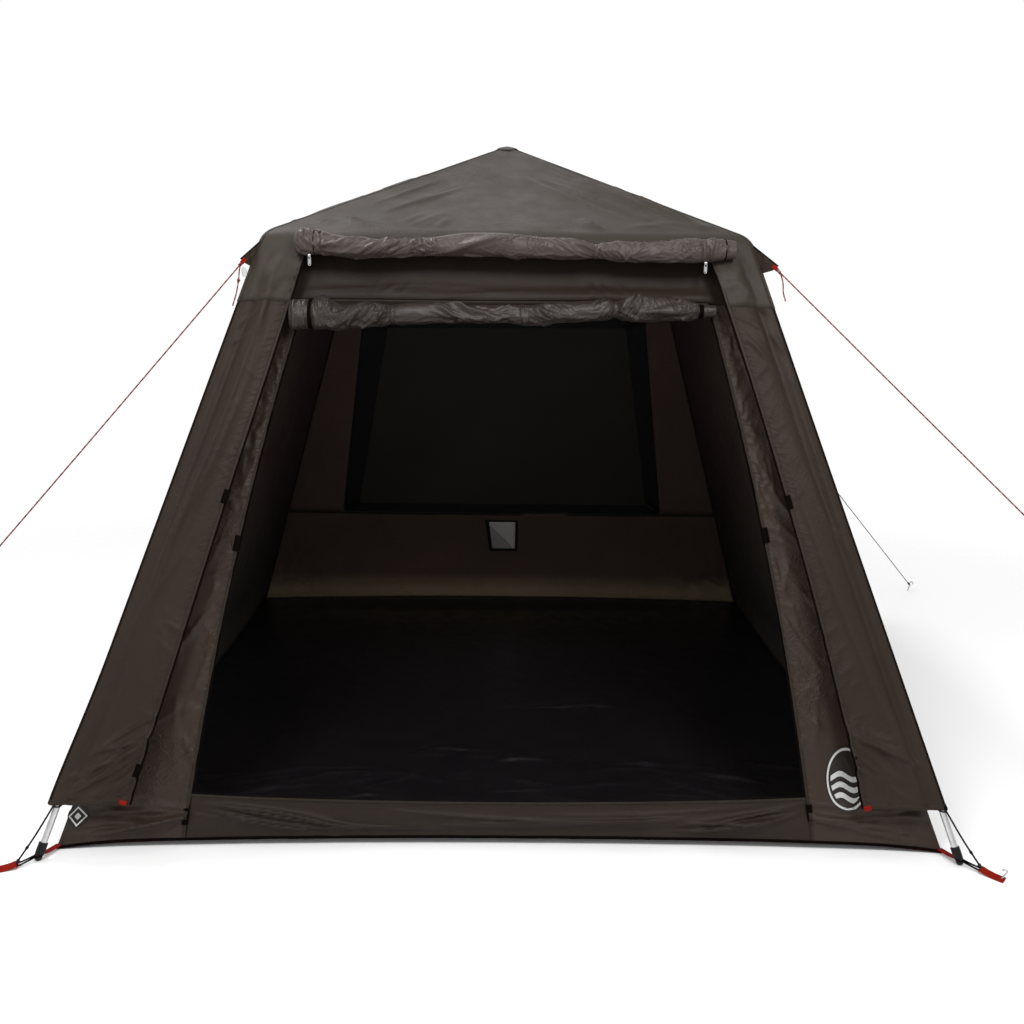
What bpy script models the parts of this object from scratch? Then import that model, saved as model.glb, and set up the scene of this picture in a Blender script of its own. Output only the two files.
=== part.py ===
"""A fishing tent: four leaning poles, four roof poles and a hub, an inner tent and a flysheet.

Units are metres and Z is up. The origin lies on the ground, under the peak. The door faces -Y.
Fabric is drawn thicker than real cloth, so that each panel is a solid.
"""

from collections import namedtuple
import math

import bmesh
import bpy
from mathutils import Vector

# A skin is a leaning four-sided wall: half widths at the ground, half width and height at its eave.
Skin = namedtuple("Skin", "foot_x foot_y eave eave_z")
FLY = Skin(foot_x=1.240, foot_y=1.272, eave=0.705, eave_z=1.6525)
INNER = Skin(foot_x=1.200, foot_y=1.200, eave=0.669, eave_z=1.600)

CLOTH = 0.002
GAP = 0.0003

# Flysheet
PEAK_Z = 2.007
PEAK_FLAT = 0.022
PEAK_FLAT_Z = 2.000
FLY_HEM_Z = 0.140
FLY_HEM_RISE = 0.030
FLY_DOOR_TOP = 0.561
FLY_DOOR_FOOT = 0.975
FLY_DOOR_BOW = 0.020

# Inner tent. The door's foot is wider on the left (-1) than on the right (1).
GROUNDSHEET = 0.0025
CORNER_CHAMFER = 0.012
FOOT_CURVE = 0.035
SKIRT_Z = 0.130
SILL_DIP = 0.020
DOOR_TOP_Z = 1.463
DOOR_TOP = 0.588
DOOR_FOOT = {-1: 0.861, 1: 0.845}
DOOR_BOW = 0.032
WINDOW_FOOT_Z = 0.490
WINDOW_TOP_Z = 1.420
WINDOW_FOOT = 0.768
WINDOW_TOP = 0.614
INNER_PEAK_Z = 1.9576

# Frame
LEG_RADIUS = 0.0085
LEG_INSET = 0.0151
FOOT_RADIUS = 0.012
FOOT_HEIGHT = 0.045
ELBOW_RADIUS = 0.012
ELBOW_FOOT_Z = 1.575
ELBOW_TOP_Z = 1.640
SOCKET_RADIUS = 0.010
SOCKET_START = 0.697
SOCKET_END = 0.660
ROOF_POLE_RADIUS = 0.006
ROOF_POLE_DROP = 0.018
ROOF_POLE_END = 0.0202
HUB_RADIUS = 0.026
HUB_FOOT_Z = 1.958

# Rolled doors: height of the middle, half height, half depth, left end, right end
Roll = namedtuple("Roll", "z half_height half_depth left right")
FLY_ROLL = Roll(z=1.612, half_height=0.031, half_depth=0.026, left=-0.612, right=0.650)
INNER_ROLL = Roll(z=1.425, half_height=0.038, half_depth=0.030, left=-0.618, right=0.602)

# Guy lines: each peg stands where its line meets the ground
TAB_TOP_Z = 1.640
TAB_FOOT_Z = 1.548
TAB_REACH = 0.045
TAB_TIP_Z = 1.570
TAB_TIP_HALF = 0.006
TAB_TIP_SLANT = 0.016
TAB_THICK = 0.0025
LINE_RADIUS = 0.0015
LINE_START = 0.0010
PEG_RADIUS = 0.003
PEG_HEIGHT = 0.042
PEG_LEAN = 0.014
PEG_HOOK = 0.022
PEG_TIE = 0.030
GUY_PEGS = {
    "front_left": (-1.955, -1.380),
    "front_right": (2.285, -1.380),
    "rear_left": (-1.900, 1.580),
    "rear_right": (2.200, 1.460),
}

# Webbing from the groundsheet's corner round the foot to a corner peg
STRAP_THICK = 0.0025
STRAP_HALF = 0.010
RING_OUTER = 0.0215
RING_INNER = 0.0146
STRAP_TAIL = 0.110

CORNERS = {
    "front_left": (-1, -1),
    "front_right": (1, -1),
    "rear_left": (-1, 1),
    "rear_right": (1, 1),
}
OUTWARD = {"front": (0, -1), "right": (1, 0), "rear": (0, 1), "left": (-1, 0)}

COLOURS = {
    "fly_cloth": ((0.050, 0.042, 0.036, 1.0), 0.55, 0.0),
    "roof_cloth": ((0.105, 0.090, 0.078, 1.0), 0.55, 0.0),
    "inner_cloth": ((0.020, 0.013, 0.011, 1.0), 0.75, 0.0),
    "floor_cloth": ((0.006, 0.006, 0.006, 1.0), 0.35, 0.0),
    "roll_cloth": ((0.060, 0.054, 0.045, 1.0), 0.45, 0.0),
    "silver_tube": ((0.560, 0.560, 0.560, 1.0), 0.30, 1.0),
    "black_plastic": ((0.012, 0.012, 0.012, 1.0), 0.40, 0.0),
    "mesh_cloth": ((0.008, 0.008, 0.008, 1.0), 0.80, 0.0),
    "red_webbing": ((0.450, 0.040, 0.020, 1.0), 0.65, 0.0),
}


def clear_scene():
    for item in list(bpy.data.objects):
        bpy.data.objects.remove(item, do_unlink=True)


def make_material(name):
    colour, roughness, metallic = COLOURS[name]
    material = bpy.data.materials.new(name)
    material.use_nodes = True
    shader = material.node_tree.nodes["Principled BSDF"]
    shader.inputs["Base Color"].default_value = colour
    shader.inputs["Roughness"].default_value = roughness
    shader.inputs["Metallic"].default_value = metallic
    return material


def mesh_from(bm, name):
    """Turn a closed bmesh into a mesh whose faces point out."""
    bmesh.ops.recalc_face_normals(bm, faces=bm.faces)
    mesh = bpy.data.meshes.new(name)
    bm.to_mesh(mesh)
    bm.free()
    return mesh


def add_node(name, mesh, material, smooth=False):
    if smooth:
        mesh.shade_smooth()
        mesh.set_sharp_from_angle(angle=math.radians(40))
    mesh.materials.clear()
    mesh.materials.append(material)
    node = bpy.data.objects.new(name, mesh)
    bpy.context.scene.collection.objects.link(node)
    return node


def lerp(a, b, t):
    return a + (b - a) * t


def steps(first, last, count):
    return [lerp(first, last, i / count) for i in range(count + 1)]


# Solids

def loft(loops):
    """Closed solid through loops of equal length, with flat ends."""
    bm = bmesh.new()
    rings = [[bm.verts.new(point) for point in loop] for loop in loops]
    count = len(rings[0])
    for lower, upper in zip(rings, rings[1:]):
        for i in range(count):
            j = (i + 1) % count
            bm.faces.new((lower[i], lower[j], upper[j], upper[i]))
    bm.faces.new(list(reversed(rings[0])))
    bm.faces.new(rings[-1])
    return bm


def sheet(point, across, up):
    """Closed sheet between the outer face point(u, v, 0) and the inner face point(u, v, CLOTH)."""
    bm = bmesh.new()
    faces = []
    for depth in (0.0, CLOTH):
        faces.append([[bm.verts.new(point(u, v, depth)) for u in across] for v in up])
    outer, inner = faces
    rows = len(up) - 1
    columns = len(across) - 1
    for r in range(rows):
        for c in range(columns):
            bm.faces.new((outer[r][c], outer[r][c + 1], outer[r + 1][c + 1], outer[r + 1][c]))
            bm.faces.new((inner[r][c], inner[r + 1][c], inner[r + 1][c + 1], inner[r][c + 1]))
    for c in range(columns):
        for r in (0, rows):
            bm.faces.new((outer[r][c], outer[r][c + 1], inner[r][c + 1], inner[r][c]))
    for r in range(rows):
        for c in (0, columns):
            bm.faces.new((outer[r][c], outer[r + 1][c], inner[r + 1][c], inner[r][c]))
    return bm


def rod(start, end, radius, sides=12, level_start=False):
    """Round bar from start to end. A level start is cut flat along the ground."""
    start = Vector(start)
    end = Vector(end)
    axis = (end - start).normalized()
    first = axis.orthogonal().normalized()
    second = axis.cross(first)
    loops = []
    for centre in (start, end):
        loop = []
        for i in range(sides):
            turn = math.tau * i / sides
            point = centre + (first * math.cos(turn) + second * math.sin(turn)) * radius
            if level_start and centre is start:
                point -= axis * ((point.z - start.z) / axis.z)
            loop.append(point)
        loops.append(loop)
    return loft(loops)


def plate(outline, foot_z, top_z):
    return loft([[(x, y, z) for x, y in outline] for z in (foot_z, top_z)])


def combine(base, tools, operation="UNION"):
    """Join or cut a bmesh with others and return the mesh."""
    objects = []
    for i, bm in enumerate([base] + tools):
        item = bpy.data.objects.new("step_%d" % i, mesh_from(bm, "step_%d" % i))
        bpy.context.scene.collection.objects.link(item)
        objects.append(item)
    body = objects[0]
    for item in objects[1:]:
        modifier = body.modifiers.new("combine", "BOOLEAN")
        modifier.operation = operation
        modifier.solver = "EXACT"
        modifier.object = item
    graph = bpy.context.evaluated_depsgraph_get()
    mesh = bpy.data.meshes.new_from_object(body.evaluated_get(graph))
    for item in objects:
        bpy.data.objects.remove(item, do_unlink=True)
    return mesh


def to_bmesh(mesh):
    bm = bmesh.new()
    bm.from_mesh(mesh)
    return bm


# Places on the leaning walls

def spans(skin, side, z):
    """Distance of a wall from the middle, and its half length, at height z."""
    rise = z / skin.eave_z
    half_x = lerp(skin.foot_x, skin.eave, rise)
    half_y = lerp(skin.foot_y, skin.eave, rise)
    if side in ("front", "rear"):
        return half_y, half_x
    return half_x, half_y


def on_wall(skin, side, s, z, depth):
    """Point at s along a wall, seen from outside, at height z and depth inside its outer face."""
    out = OUTWARD[side]
    across, reach = spans(skin, side, z)
    if skin is INNER and z < SKIRT_Z:
        across -= FOOT_CURVE * (1 - (s / reach) ** 2) * (1 - z / SKIRT_Z)
    across -= depth
    return Vector((out[0] * across - out[1] * s, out[1] * across + out[0] * s, z))


def corner_s(skin, side, z, depth):
    """Where a wall ends at its mitred corner."""
    return spans(skin, side, z)[1] - GAP - depth


def bowed(top, foot, top_z, foot_z, bow, z):
    """Half width of an opening whose edge bows outward between its top and its foot."""
    t = (top_z - z) / (top_z - foot_z)
    return lerp(top, foot, t) + 4 * bow * t * (1 - t)


def fly_door_edge(sign, z):
    return sign * bowed(FLY_DOOR_TOP, FLY_DOOR_FOOT, FLY.eave_z, FLY_HEM_Z, FLY_DOOR_BOW, z)


def inner_door_edge(sign, z):
    return sign * bowed(DOOR_TOP, DOOR_FOOT[sign], DOOR_TOP_Z, 0.0, DOOR_BOW, z)


def window_edge(sign, z):
    rise = (z - WINDOW_FOOT_Z) / (WINDOW_TOP_Z - WINDOW_FOOT_Z)
    return sign * lerp(WINDOW_FOOT, WINDOW_TOP, rise)


def leg_axis(corner, z):
    """Middle of the leg tube at height z."""
    half_y, half_x = spans(FLY, "front", z)
    sign_x, sign_y = CORNERS[corner]
    return Vector((sign_x * (half_x - LEG_INSET), sign_y * (half_y - LEG_INSET), z))


def roof_z(half):
    """Height of the flysheet's roof, at a half width from the middle."""
    if half < PEAK_FLAT:
        return lerp(PEAK_Z, PEAK_FLAT_Z, half / PEAK_FLAT)
    return lerp(PEAK_FLAT_Z, FLY.eave_z, (half - PEAK_FLAT) / (FLY.eave - PEAK_FLAT))


def inner_roof_z(half):
    return lerp(INNER_PEAK_Z, INNER.eave_z, half / INNER.eave)


def roof_pole_axis(corner, half):
    sign_x, sign_y = CORNERS[corner]
    return Vector((sign_x * half, sign_y * half, roof_z(half) - ROOF_POLE_DROP))


# Frame

def build_leg(corner, silver, plastic):
    split = leg_axis(corner, FOOT_HEIGHT)
    axis = (leg_axis(corner, 1.0) - leg_axis(corner, 0.0)).normalized()
    foot = rod(leg_axis(corner, 0.0), split, FOOT_RADIUS, 16, level_start=True)
    add_node("foot_" + corner, mesh_from(foot, "foot"), plastic, smooth=True)
    top = leg_axis(corner, ELBOW_FOOT_Z) - axis * GAP
    tube = rod(split + axis * GAP, top, LEG_RADIUS, 16)
    add_node("leg_" + corner, mesh_from(tube, "leg"), silver, smooth=True)


def build_roof_pole(corner, silver, plastic):
    socket_end = roof_pole_axis(corner, SOCKET_END)
    pole_end = roof_pole_axis(corner, ROOF_POLE_END)
    axis = (pole_end - socket_end).normalized()
    body = rod(leg_axis(corner, ELBOW_FOOT_Z), leg_axis(corner, ELBOW_TOP_Z), ELBOW_RADIUS, 16)
    socket = rod(roof_pole_axis(corner, SOCKET_START), socket_end, SOCKET_RADIUS, 16)
    add_node("elbow_" + corner, combine(body, [socket]), plastic, smooth=True)
    pole = rod(socket_end + axis * GAP, pole_end, ROOF_POLE_RADIUS, 12)
    add_node("roof_pole_" + corner, mesh_from(pole, "roof_pole"), silver, smooth=True)


def build_hub(plastic):
    """Turned hub with a domed top that follows the underside of the roof."""
    profile = [
        (HUB_RADIUS, HUB_FOOT_Z),
        (HUB_RADIUS, 1.9940),
        (0.0200, 1.9970),
        (0.0100, 2.0008),
        (0.0030, 2.0030),
    ]
    sides = 24
    turns = [math.tau * i / sides for i in range(sides)]
    loops = [[(r * math.cos(a), r * math.sin(a), z) for a in turns] for r, z in profile]
    add_node("hub", mesh_from(loft(loops), "hub"), plastic, smooth=True)


# Inner tent

def build_groundsheet(material):
    """Floor whose four edges curve in between the pegged corners."""
    outline = []
    for side in ("front", "right", "rear", "left"):
        last = INNER.foot_x - CORNER_CHAMFER
        for s in steps(-last, last, 8):
            point = on_wall(INNER, side, s, 0.0, 0.0)
            outline.append((point.x, point.y))
    add_node("groundsheet", mesh_from(plate(outline, 0.0, GROUNDSHEET), "groundsheet"), material)


WALL_FOOT_Z = GROUNDSHEET + GAP
INNER_WALL_TOP = INNER.eave_z - 1.2 * CLOTH - GAP


def skirt_heights(top_z, above=1):
    return [WALL_FOOT_Z, SKIRT_Z / 2, SKIRT_Z] + steps(SKIRT_Z, top_z, above)[1:]


def inner_panel(name, side, edges, heights, material, columns=8):
    """Panel of the inner tent. edges(z, depth) gives its two ends along the wall."""
    def point(u, z, depth):
        low, high = edges(z, depth)
        return on_wall(INNER, side, lerp(low, high, u), z, depth)
    solid = sheet(point, steps(0.0, 1.0, columns), heights)
    add_node(name, mesh_from(solid, name), material)


def full_width(side):
    def edges(z, depth):
        end = corner_s(INNER, side, z, depth)
        return -end, end
    return edges


def beside(side, opening, sign):
    """Ends of a panel between a corner and the same side's edge of an opening."""
    def edges(z, depth):
        return sign * corner_s(INNER, side, z, depth), opening(sign, z)
    return edges


def build_inner_front(cloth):
    def sill_point(u, v, depth):
        low = WALL_FOOT_Z
        top = SKIRT_Z + 0.007 - SILL_DIP * (1 - (2 * u - 1) ** 2)
        z = lerp(low, top, v)
        s = lerp(inner_door_edge(-1, z) + GAP, inner_door_edge(1, z) - GAP, u)
        return on_wall(INNER, "front", s, z, depth)
    solid = sheet(sill_point, steps(0.0, 1.0, 12), steps(0.0, 1.0, 2))
    add_node("inner_front_sill", mesh_from(solid, "sill"), cloth)
    heights = skirt_heights(DOOR_TOP_Z - GAP, above=6)
    inner_panel("inner_front_left", "front", beside("front", inner_door_edge, -1), heights, cloth, 2)
    inner_panel("inner_front_right", "front", beside("front", inner_door_edge, 1), heights, cloth, 2)
    inner_panel("inner_front_header", "front", full_width("front"), [DOOR_TOP_Z, INNER_WALL_TOP], cloth, 1)


def build_inner_rear(cloth, mesh_cloth):
    lower = skirt_heights(WINDOW_FOOT_Z - GAP)
    inner_panel("inner_rear_lower", "rear", full_width("rear"), lower, cloth)
    middle = [WINDOW_FOOT_Z, WINDOW_TOP_Z - GAP]
    inner_panel("inner_rear_left", "rear", beside("rear", window_edge, 1), middle, cloth, 1)
    inner_panel("inner_rear_right", "rear", beside("rear", window_edge, -1), middle, cloth, 1)
    upper = [WINDOW_TOP_Z, INNER_WALL_TOP]
    inner_panel("inner_rear_header", "rear", full_width("rear"), upper, cloth, 1)

    def window_edges(z, depth):
        return window_edge(-1, z) + GAP, window_edge(1, z) - GAP
    inner_panel("rear_window", "rear", window_edges, middle, mesh_cloth, 1)


def build_roof(skin, height, prefix, material, halves):
    """Four gores that meet along the hips."""
    for side, out in OUTWARD.items():
        def point(u, half, depth):
            s = lerp(-1, 1, u) * max(half - GAP, GAP)
            x = out[0] * half - out[1] * s
            y = out[1] * half + out[0] * s
            return Vector((x, y, height(half) - 1.2 * depth))
        solid = sheet(point, [0.0, 1.0], [skin.eave] + halves)
        add_node(prefix + side, mesh_from(solid, prefix + side), material)


def build_inner_tent(cloth, mesh_cloth, floor_cloth):
    build_groundsheet(floor_cloth)
    build_inner_front(cloth)
    for side in ("left", "right"):
        heights = skirt_heights(INNER_WALL_TOP)
        inner_panel("inner_%s_wall" % side, side, full_width(side), heights, cloth)
    build_inner_rear(cloth, mesh_cloth)
    build_roof(INNER, inner_roof_z, "inner_roof_", cloth, [2 * GAP])


# Flysheet

FLY_WALL_TOP = FLY.eave_z - 1.2 * CLOTH - GAP


def build_fly_wall(name, side, material):
    def point(u, v, depth):
        place = lerp(-1, 1, u)
        z = lerp(FLY_HEM_Z + FLY_HEM_RISE * (1 - place ** 2), FLY_WALL_TOP, v)
        return on_wall(FLY, side, place * corner_s(FLY, side, z, depth), z, depth)
    solid = sheet(point, steps(0.0, 1.0, 8), [0.0, 1.0])
    add_node(name, mesh_from(solid, name), material)


def build_fly_front_panel(name, sign, material):
    """Panel between the door opening and the corner pole."""
    def point(u, z, depth):
        end = corner_s(FLY, "front", z, depth)
        return on_wall(FLY, "front", lerp(sign * end, fly_door_edge(sign, z), u), z, depth)
    solid = sheet(point, [0.0, 1.0], steps(FLY_HEM_Z, FLY_WALL_TOP, 8))
    add_node(name, mesh_from(solid, name), material)


def build_roll(name, skin, roll, material):
    """Rolled-up door that hangs in front of a wall."""
    outer = on_wall(skin, "front", 0.0, roll.z, 0.0)
    up = (on_wall(skin, "front", 0.0, roll.z + 0.1, 0.0) - outer).normalized()
    normal = Vector((1, 0, 0)).cross(up)
    sides = 12
    loops = []
    for i, s in enumerate(steps(roll.left, roll.right, 14)):
        swell = 1.0 + 0.09 * math.sin(2.1 * i) - 0.10 * (i in (0, 14))
        middle = outer + Vector((s, 0, 0)) + normal * (roll.half_depth * swell + GAP)
        loop = []
        for k in range(sides):
            turn = math.tau * k / sides
            high = up * (roll.half_height * swell * math.cos(turn))
            deep = normal * (roll.half_depth * swell * math.sin(turn))
            loop.append(middle + high + deep)
        loops.append(loop)
    add_node(name, mesh_from(loft(loops), name), material, smooth=True)


def build_flysheet(wall_cloth, roof_cloth):
    build_roof(FLY, roof_z, "fly_roof_", roof_cloth, [PEAK_FLAT, 2 * GAP])
    for side in ("left", "right", "rear"):
        build_fly_wall("fly_%s_wall" % side, side, wall_cloth)
    build_fly_front_panel("fly_front_left", -1, wall_cloth)
    build_fly_front_panel("fly_front_right", 1, wall_cloth)


# Guy lines and corner straps

def fly_corner(corner, z, outward=0.0):
    """Point on the flysheet's corner edge, moved outward along the diagonal."""
    half_y, half_x = spans(FLY, "front", z)
    sign_x, sign_y = CORNERS[corner]
    shift = outward * math.sqrt(0.5)
    return Vector((sign_x * (half_x + shift), sign_y * (half_y + shift), z))


def tab_tip(corner):
    """The two ends of the short edge that the guy line pulls on."""
    upper = fly_corner(corner, TAB_TIP_Z + TAB_TIP_HALF, TAB_REACH)
    lower = fly_corner(corner, TAB_TIP_Z - TAB_TIP_HALF, TAB_REACH - TAB_TIP_SLANT)
    return upper, lower


def build_guy_tab(corner, material):
    """Triangular tab at the top of a corner, in the plane of the diagonal."""
    sign_x, sign_y = CORNERS[corner]
    aside = Vector((sign_y, -sign_x, 0)).normalized() * (TAB_THICK / 2)
    top = fly_corner(corner, TAB_TOP_Z, 2 * GAP)
    foot = fly_corner(corner, TAB_FOOT_Z, 2 * GAP)
    outline = [top, *tab_tip(corner), foot]
    solid = loft([[point + aside for point in outline], [point - aside for point in outline]])
    add_node("guy_tab_" + corner, mesh_from(solid, "guy_tab"), material)


def build_guy_line(corner, material):
    """Taut line from the tab to its peg, with the part of the peg that stands above the ground."""
    peg = Vector((*GUY_PEGS[corner], 0.0))
    tip = lerp(*tab_tip(corner), 0.5)
    away = Vector((peg.x - tip.x, peg.y - tip.y, 0.0)).normalized()
    peg_top = peg + away * PEG_LEAN + Vector((0, 0, PEG_HEIGHT))
    hook_end = peg_top + away * PEG_HOOK - Vector((0, 0, PEG_HOOK / 2))
    tie = lerp(peg, peg_top, PEG_TIE / PEG_HEIGHT)
    start = tip + (tie - tip).normalized() * LINE_START
    shaft = rod(peg, peg_top, PEG_RADIUS, 8, level_start=True)
    hook = rod(peg_top - away * PEG_RADIUS * 0.5, hook_end, PEG_RADIUS * 0.95, 8)
    line = rod(start, tie, LINE_RADIUS, 6)
    add_node("guy_line_" + corner, combine(shaft, [hook, line]), material, smooth=True)


def circle(centre, radius, sides=24):
    turns = [math.tau * i / sides for i in range(sides)]
    return [(centre.x + radius * math.cos(a), centre.y + radius * math.sin(a)) for a in turns]


def build_corner_strap(corner, material):
    """Webbing from the groundsheet round the foot and out to a corner peg."""
    sign_x, sign_y = CORNERS[corner]
    foot = leg_axis(corner, 0.0)
    diagonal = Vector((sign_x, sign_y, 0)).normalized()
    sideways = Vector((-diagonal.y, diagonal.x, 0))
    edge = INNER.foot_x - CORNER_CHAMFER / 2
    inner_end = Vector((sign_x * edge, sign_y * edge, 0)) + diagonal * GAP
    outer_end = foot + diagonal * STRAP_TAIL
    half = sideways * STRAP_HALF
    beyond = diagonal * 0.004
    inner_tail = [inner_end + half, inner_end - half, foot - half + beyond, foot + half + beyond]
    outer_tail = [foot - half - beyond, foot + half - beyond, outer_end + half, outer_end - half]
    flat = [[(point.x, point.y) for point in tail] for tail in (inner_tail, outer_tail)]
    base = plate(circle(foot, RING_OUTER), 0.0, STRAP_THICK)
    tails = [plate(tail, 0.0, STRAP_THICK) for tail in flat]
    peg = outer_end - diagonal * STRAP_HALF
    peg_top = peg + diagonal * PEG_LEAN + Vector((0, 0, PEG_HEIGHT * 0.7))
    tails.append(rod(peg, peg_top, PEG_RADIUS, 8, level_start=True))
    joined = to_bmesh(combine(base, tails))
    middle = leg_axis(corner, STRAP_THICK / 2)
    hole = plate(circle(middle, RING_INNER), -STRAP_THICK, 2 * STRAP_THICK)
    add_node("corner_strap_" + corner, combine(joined, [hole], "DIFFERENCE"), material)


def build_tent():
    clear_scene()
    materials = {name: make_material(name) for name in COLOURS}
    silver = materials["silver_tube"]
    plastic = materials["black_plastic"]
    webbing = materials["red_webbing"]
    build_hub(plastic)
    build_inner_tent(materials["inner_cloth"], materials["mesh_cloth"], materials["floor_cloth"])
    build_flysheet(materials["fly_cloth"], materials["roof_cloth"])
    build_roll("fly_door_roll", FLY, FLY_ROLL, materials["roll_cloth"])
    build_roll("inner_door_roll", INNER, INNER_ROLL, materials["roll_cloth"])
    for corner in CORNERS:
        build_leg(corner, silver, plastic)
        build_roof_pole(corner, silver, plastic)
        build_guy_tab(corner, materials["fly_cloth"])
        build_guy_line(corner, webbing)
        build_corner_strap(corner, webbing)


build_tent()
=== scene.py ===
"""The looks of a fishing tent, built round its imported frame.

Units are metres and Z is up. The origin lies on the ground, under the peak. The door faces -Y.
Cloth follows the same leaning walls as the solids, with rounded corners, sags, folds and seams.
"""

from collections import namedtuple
import math

import bpy
from mathutils import Matrix, Vector
import numpy as np


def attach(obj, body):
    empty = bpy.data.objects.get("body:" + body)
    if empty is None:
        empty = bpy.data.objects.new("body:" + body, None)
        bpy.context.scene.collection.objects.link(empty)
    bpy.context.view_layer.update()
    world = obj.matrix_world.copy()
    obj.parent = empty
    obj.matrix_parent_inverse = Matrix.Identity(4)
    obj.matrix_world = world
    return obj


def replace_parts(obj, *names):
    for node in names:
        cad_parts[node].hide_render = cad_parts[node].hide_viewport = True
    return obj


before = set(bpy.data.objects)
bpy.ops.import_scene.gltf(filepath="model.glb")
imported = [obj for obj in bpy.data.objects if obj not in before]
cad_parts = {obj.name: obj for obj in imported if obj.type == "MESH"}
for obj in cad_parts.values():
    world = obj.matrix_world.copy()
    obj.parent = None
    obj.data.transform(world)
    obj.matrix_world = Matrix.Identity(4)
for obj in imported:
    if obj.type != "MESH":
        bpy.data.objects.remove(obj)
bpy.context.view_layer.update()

# Camera, fitted to the photograph: focal length and picture width in pixels, angles in radians
LENS_PX, IMAGE_PX = 979.5, 1024
PITCH, YAW, ROLL = 0.1956, 0.0152, 0.0130
EYE = Vector((-0.022, -3.6237, 1.4179))

# Light: strength of the surround, and place, target, size in metres and power in watts of each lamp
WORLD_LIGHT = 0.78
LAMPS = {
    "over_left": ((-1.2, -3.1, 3.3), (-0.5, -0.6, 1.2), 1.0, 55),
    "over_right": ((1.2, -3.1, 3.3), (0.5, -0.6, 1.2), 1.0, 63),
    "high_left": ((-1.8, 0.4, 5.0), (0.0, 0.0, 1.0), 0.6, 80),
    "behind": ((0.0, 2.6, 4.6), (0.0, 0.0, 1.0), 1.6, 8),
}

# Main sizes, the same as the solids have. A skin has its half widths at the ground and at the eave.
Skin = namedtuple("Skin", "foot_x foot_y eave eave_z")
FLY = Skin(foot_x=1.240, foot_y=1.272, eave=0.705, eave_z=1.6525)
INNER = Skin(foot_x=1.200, foot_y=1.200, eave=0.669, eave_z=1.600)
PEAK_Z = 2.007
PEAK_FLAT, PEAK_FLAT_Z = 0.022, 2.000
INNER_PEAK_Z = 1.9576
HEM_Z, HEM_RISE = 0.140, 0.030
DOOR_HEM_RISE = {-1: 0.014, 1: 0.004}
FLY_DOOR_TOP = 0.561
FLY_DOOR_FOOT = {-1: 0.986, 1: 0.965}
FLY_DOOR_BOW = {-1: 0.004, 1: 0.030}
SKIRT_Z, FOOT_CURVE, SILL_DIP = 0.130, 0.035, 0.020
DOOR_TOP_Z, DOOR_TOP, DOOR_BOW = 1.463, 0.588, 0.032
DOOR_FOOT = {-1: 0.861, 1: 0.845}
WINDOW_FOOT_Z, WINDOW_TOP_Z = 0.490, 1.420
WINDOW_FOOT, WINDOW_TOP = 0.768, 0.614
LEG_INSET = 0.0151
WALL_FOOT_Z = 0.0006

# Sizes of the cloth's own forms. SLOPE is the way up a wall for each metre of height.
SLOPE = 1.05
FLY_ZIP_TOP = 1.600
SILL_REACH = 0.853
CORNER_ROUND = 0.020
EAVE_ROUND = 0.027
SEAM_Z = 1.460
CLOTH = 0.0008
TUB_Z = 0.100
FLOOR_LOW = 0.0020
FRONT_LIFT, REAR_LIFT = 0.019, 0.032
HEM_FLARE = 0.013
ROOF_LIFT = 0.0011
LEADER_Z = 1.428
ROLL_GAP, ROLL_ROUND = 0.0008, 0.030
PATCH_RADIUS = 0.0450
HEM_WIDTH, HEM_MIDDLE = 0.013, 0.0065

# Sewing: pitch of the stitches and teeth, with the length, width and height of each
STITCH_PITCH, STITCH = 0.0064, (0.0040, 0.0008, 0.0005)
TOOTH_PITCH, TOOTH, SILL_TOOTH = 0.0028, (0.0016, 0.0030, 0.0014), (0.0016, 0.0036, 0.0016)

# Hands by the sign of x, and directions outward
HANDS = {-1: "left", 1: "right"}
OUTWARD = {"front": (0, -1), "right": (1, 0), "rear": (0, 1), "left": (-1, 0)}
SIDES = ("front", "right", "rear", "left")
CORNERS = {
    "front_left": (-1, -1),
    "front_right": (1, -1),
    "rear_left": (-1, 1),
    "rear_right": (1, 1),
}

# Flaps, guy lines and their pegs
TAB_FOOT_Z, TAB_ROOT_Z = 1.548, 1.668
TAB_REACH = {-1: 0.032, 1: 0.050}
TAB_TIP_Z, TAB_TIP_HALF, TAB_TIP_SLANT = 1.566, 0.006, 0.016
GUY_RADIUS = 0.0019
PEG_RADIUS, PEG_HEIGHT, PEG_LEAN, PEG_HOOK, PEG_TIE = 0.003, 0.042, 0.014, 0.022, 0.030
GUY_PEGS = {
    "front_left": (-1.955, -1.380),
    "front_right": (2.285, -1.380),
    "rear_left": (-1.900, 1.580),
    "rear_right": (2.200, 1.460),
}

# Feet and elbows: radii, ribs of the sleeve, and heights of the elbow's parts
BALL_RADIUS, SLEEVE_RADIUS, GROOVE_RADIUS = 0.0095, 0.0119, 0.0110
RIB_START, RIB_PITCH, RIB_COUNT = 0.0205, 0.0052, 5
ELBOW_FOOT_Z, ELBOW_TOP_Z, ELBOW_RADIUS = 1.575, 1.622, 0.0105
SOCKET_Z, SOCKET_END, SOCKET_DROP = 1.612, 0.655, 0.018


# Numbers and noise

def lerp(a, b, t):
    return a + (b - a) * t


def smooth(low, high, value):
    """0 below low, 1 above high, and a smooth step between."""
    t = np.clip((value - low) / (high - low), 0.0, 1.0)
    return t * t * (3 - 2 * t)


def scattered(i, j, seed):
    """A repeatable number between 0 and 1 for each pair of whole numbers."""
    value = np.sin(i * 127.1 + j * 311.7 + seed * 74.7) * 43758.5453
    return value - np.floor(value)


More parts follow.
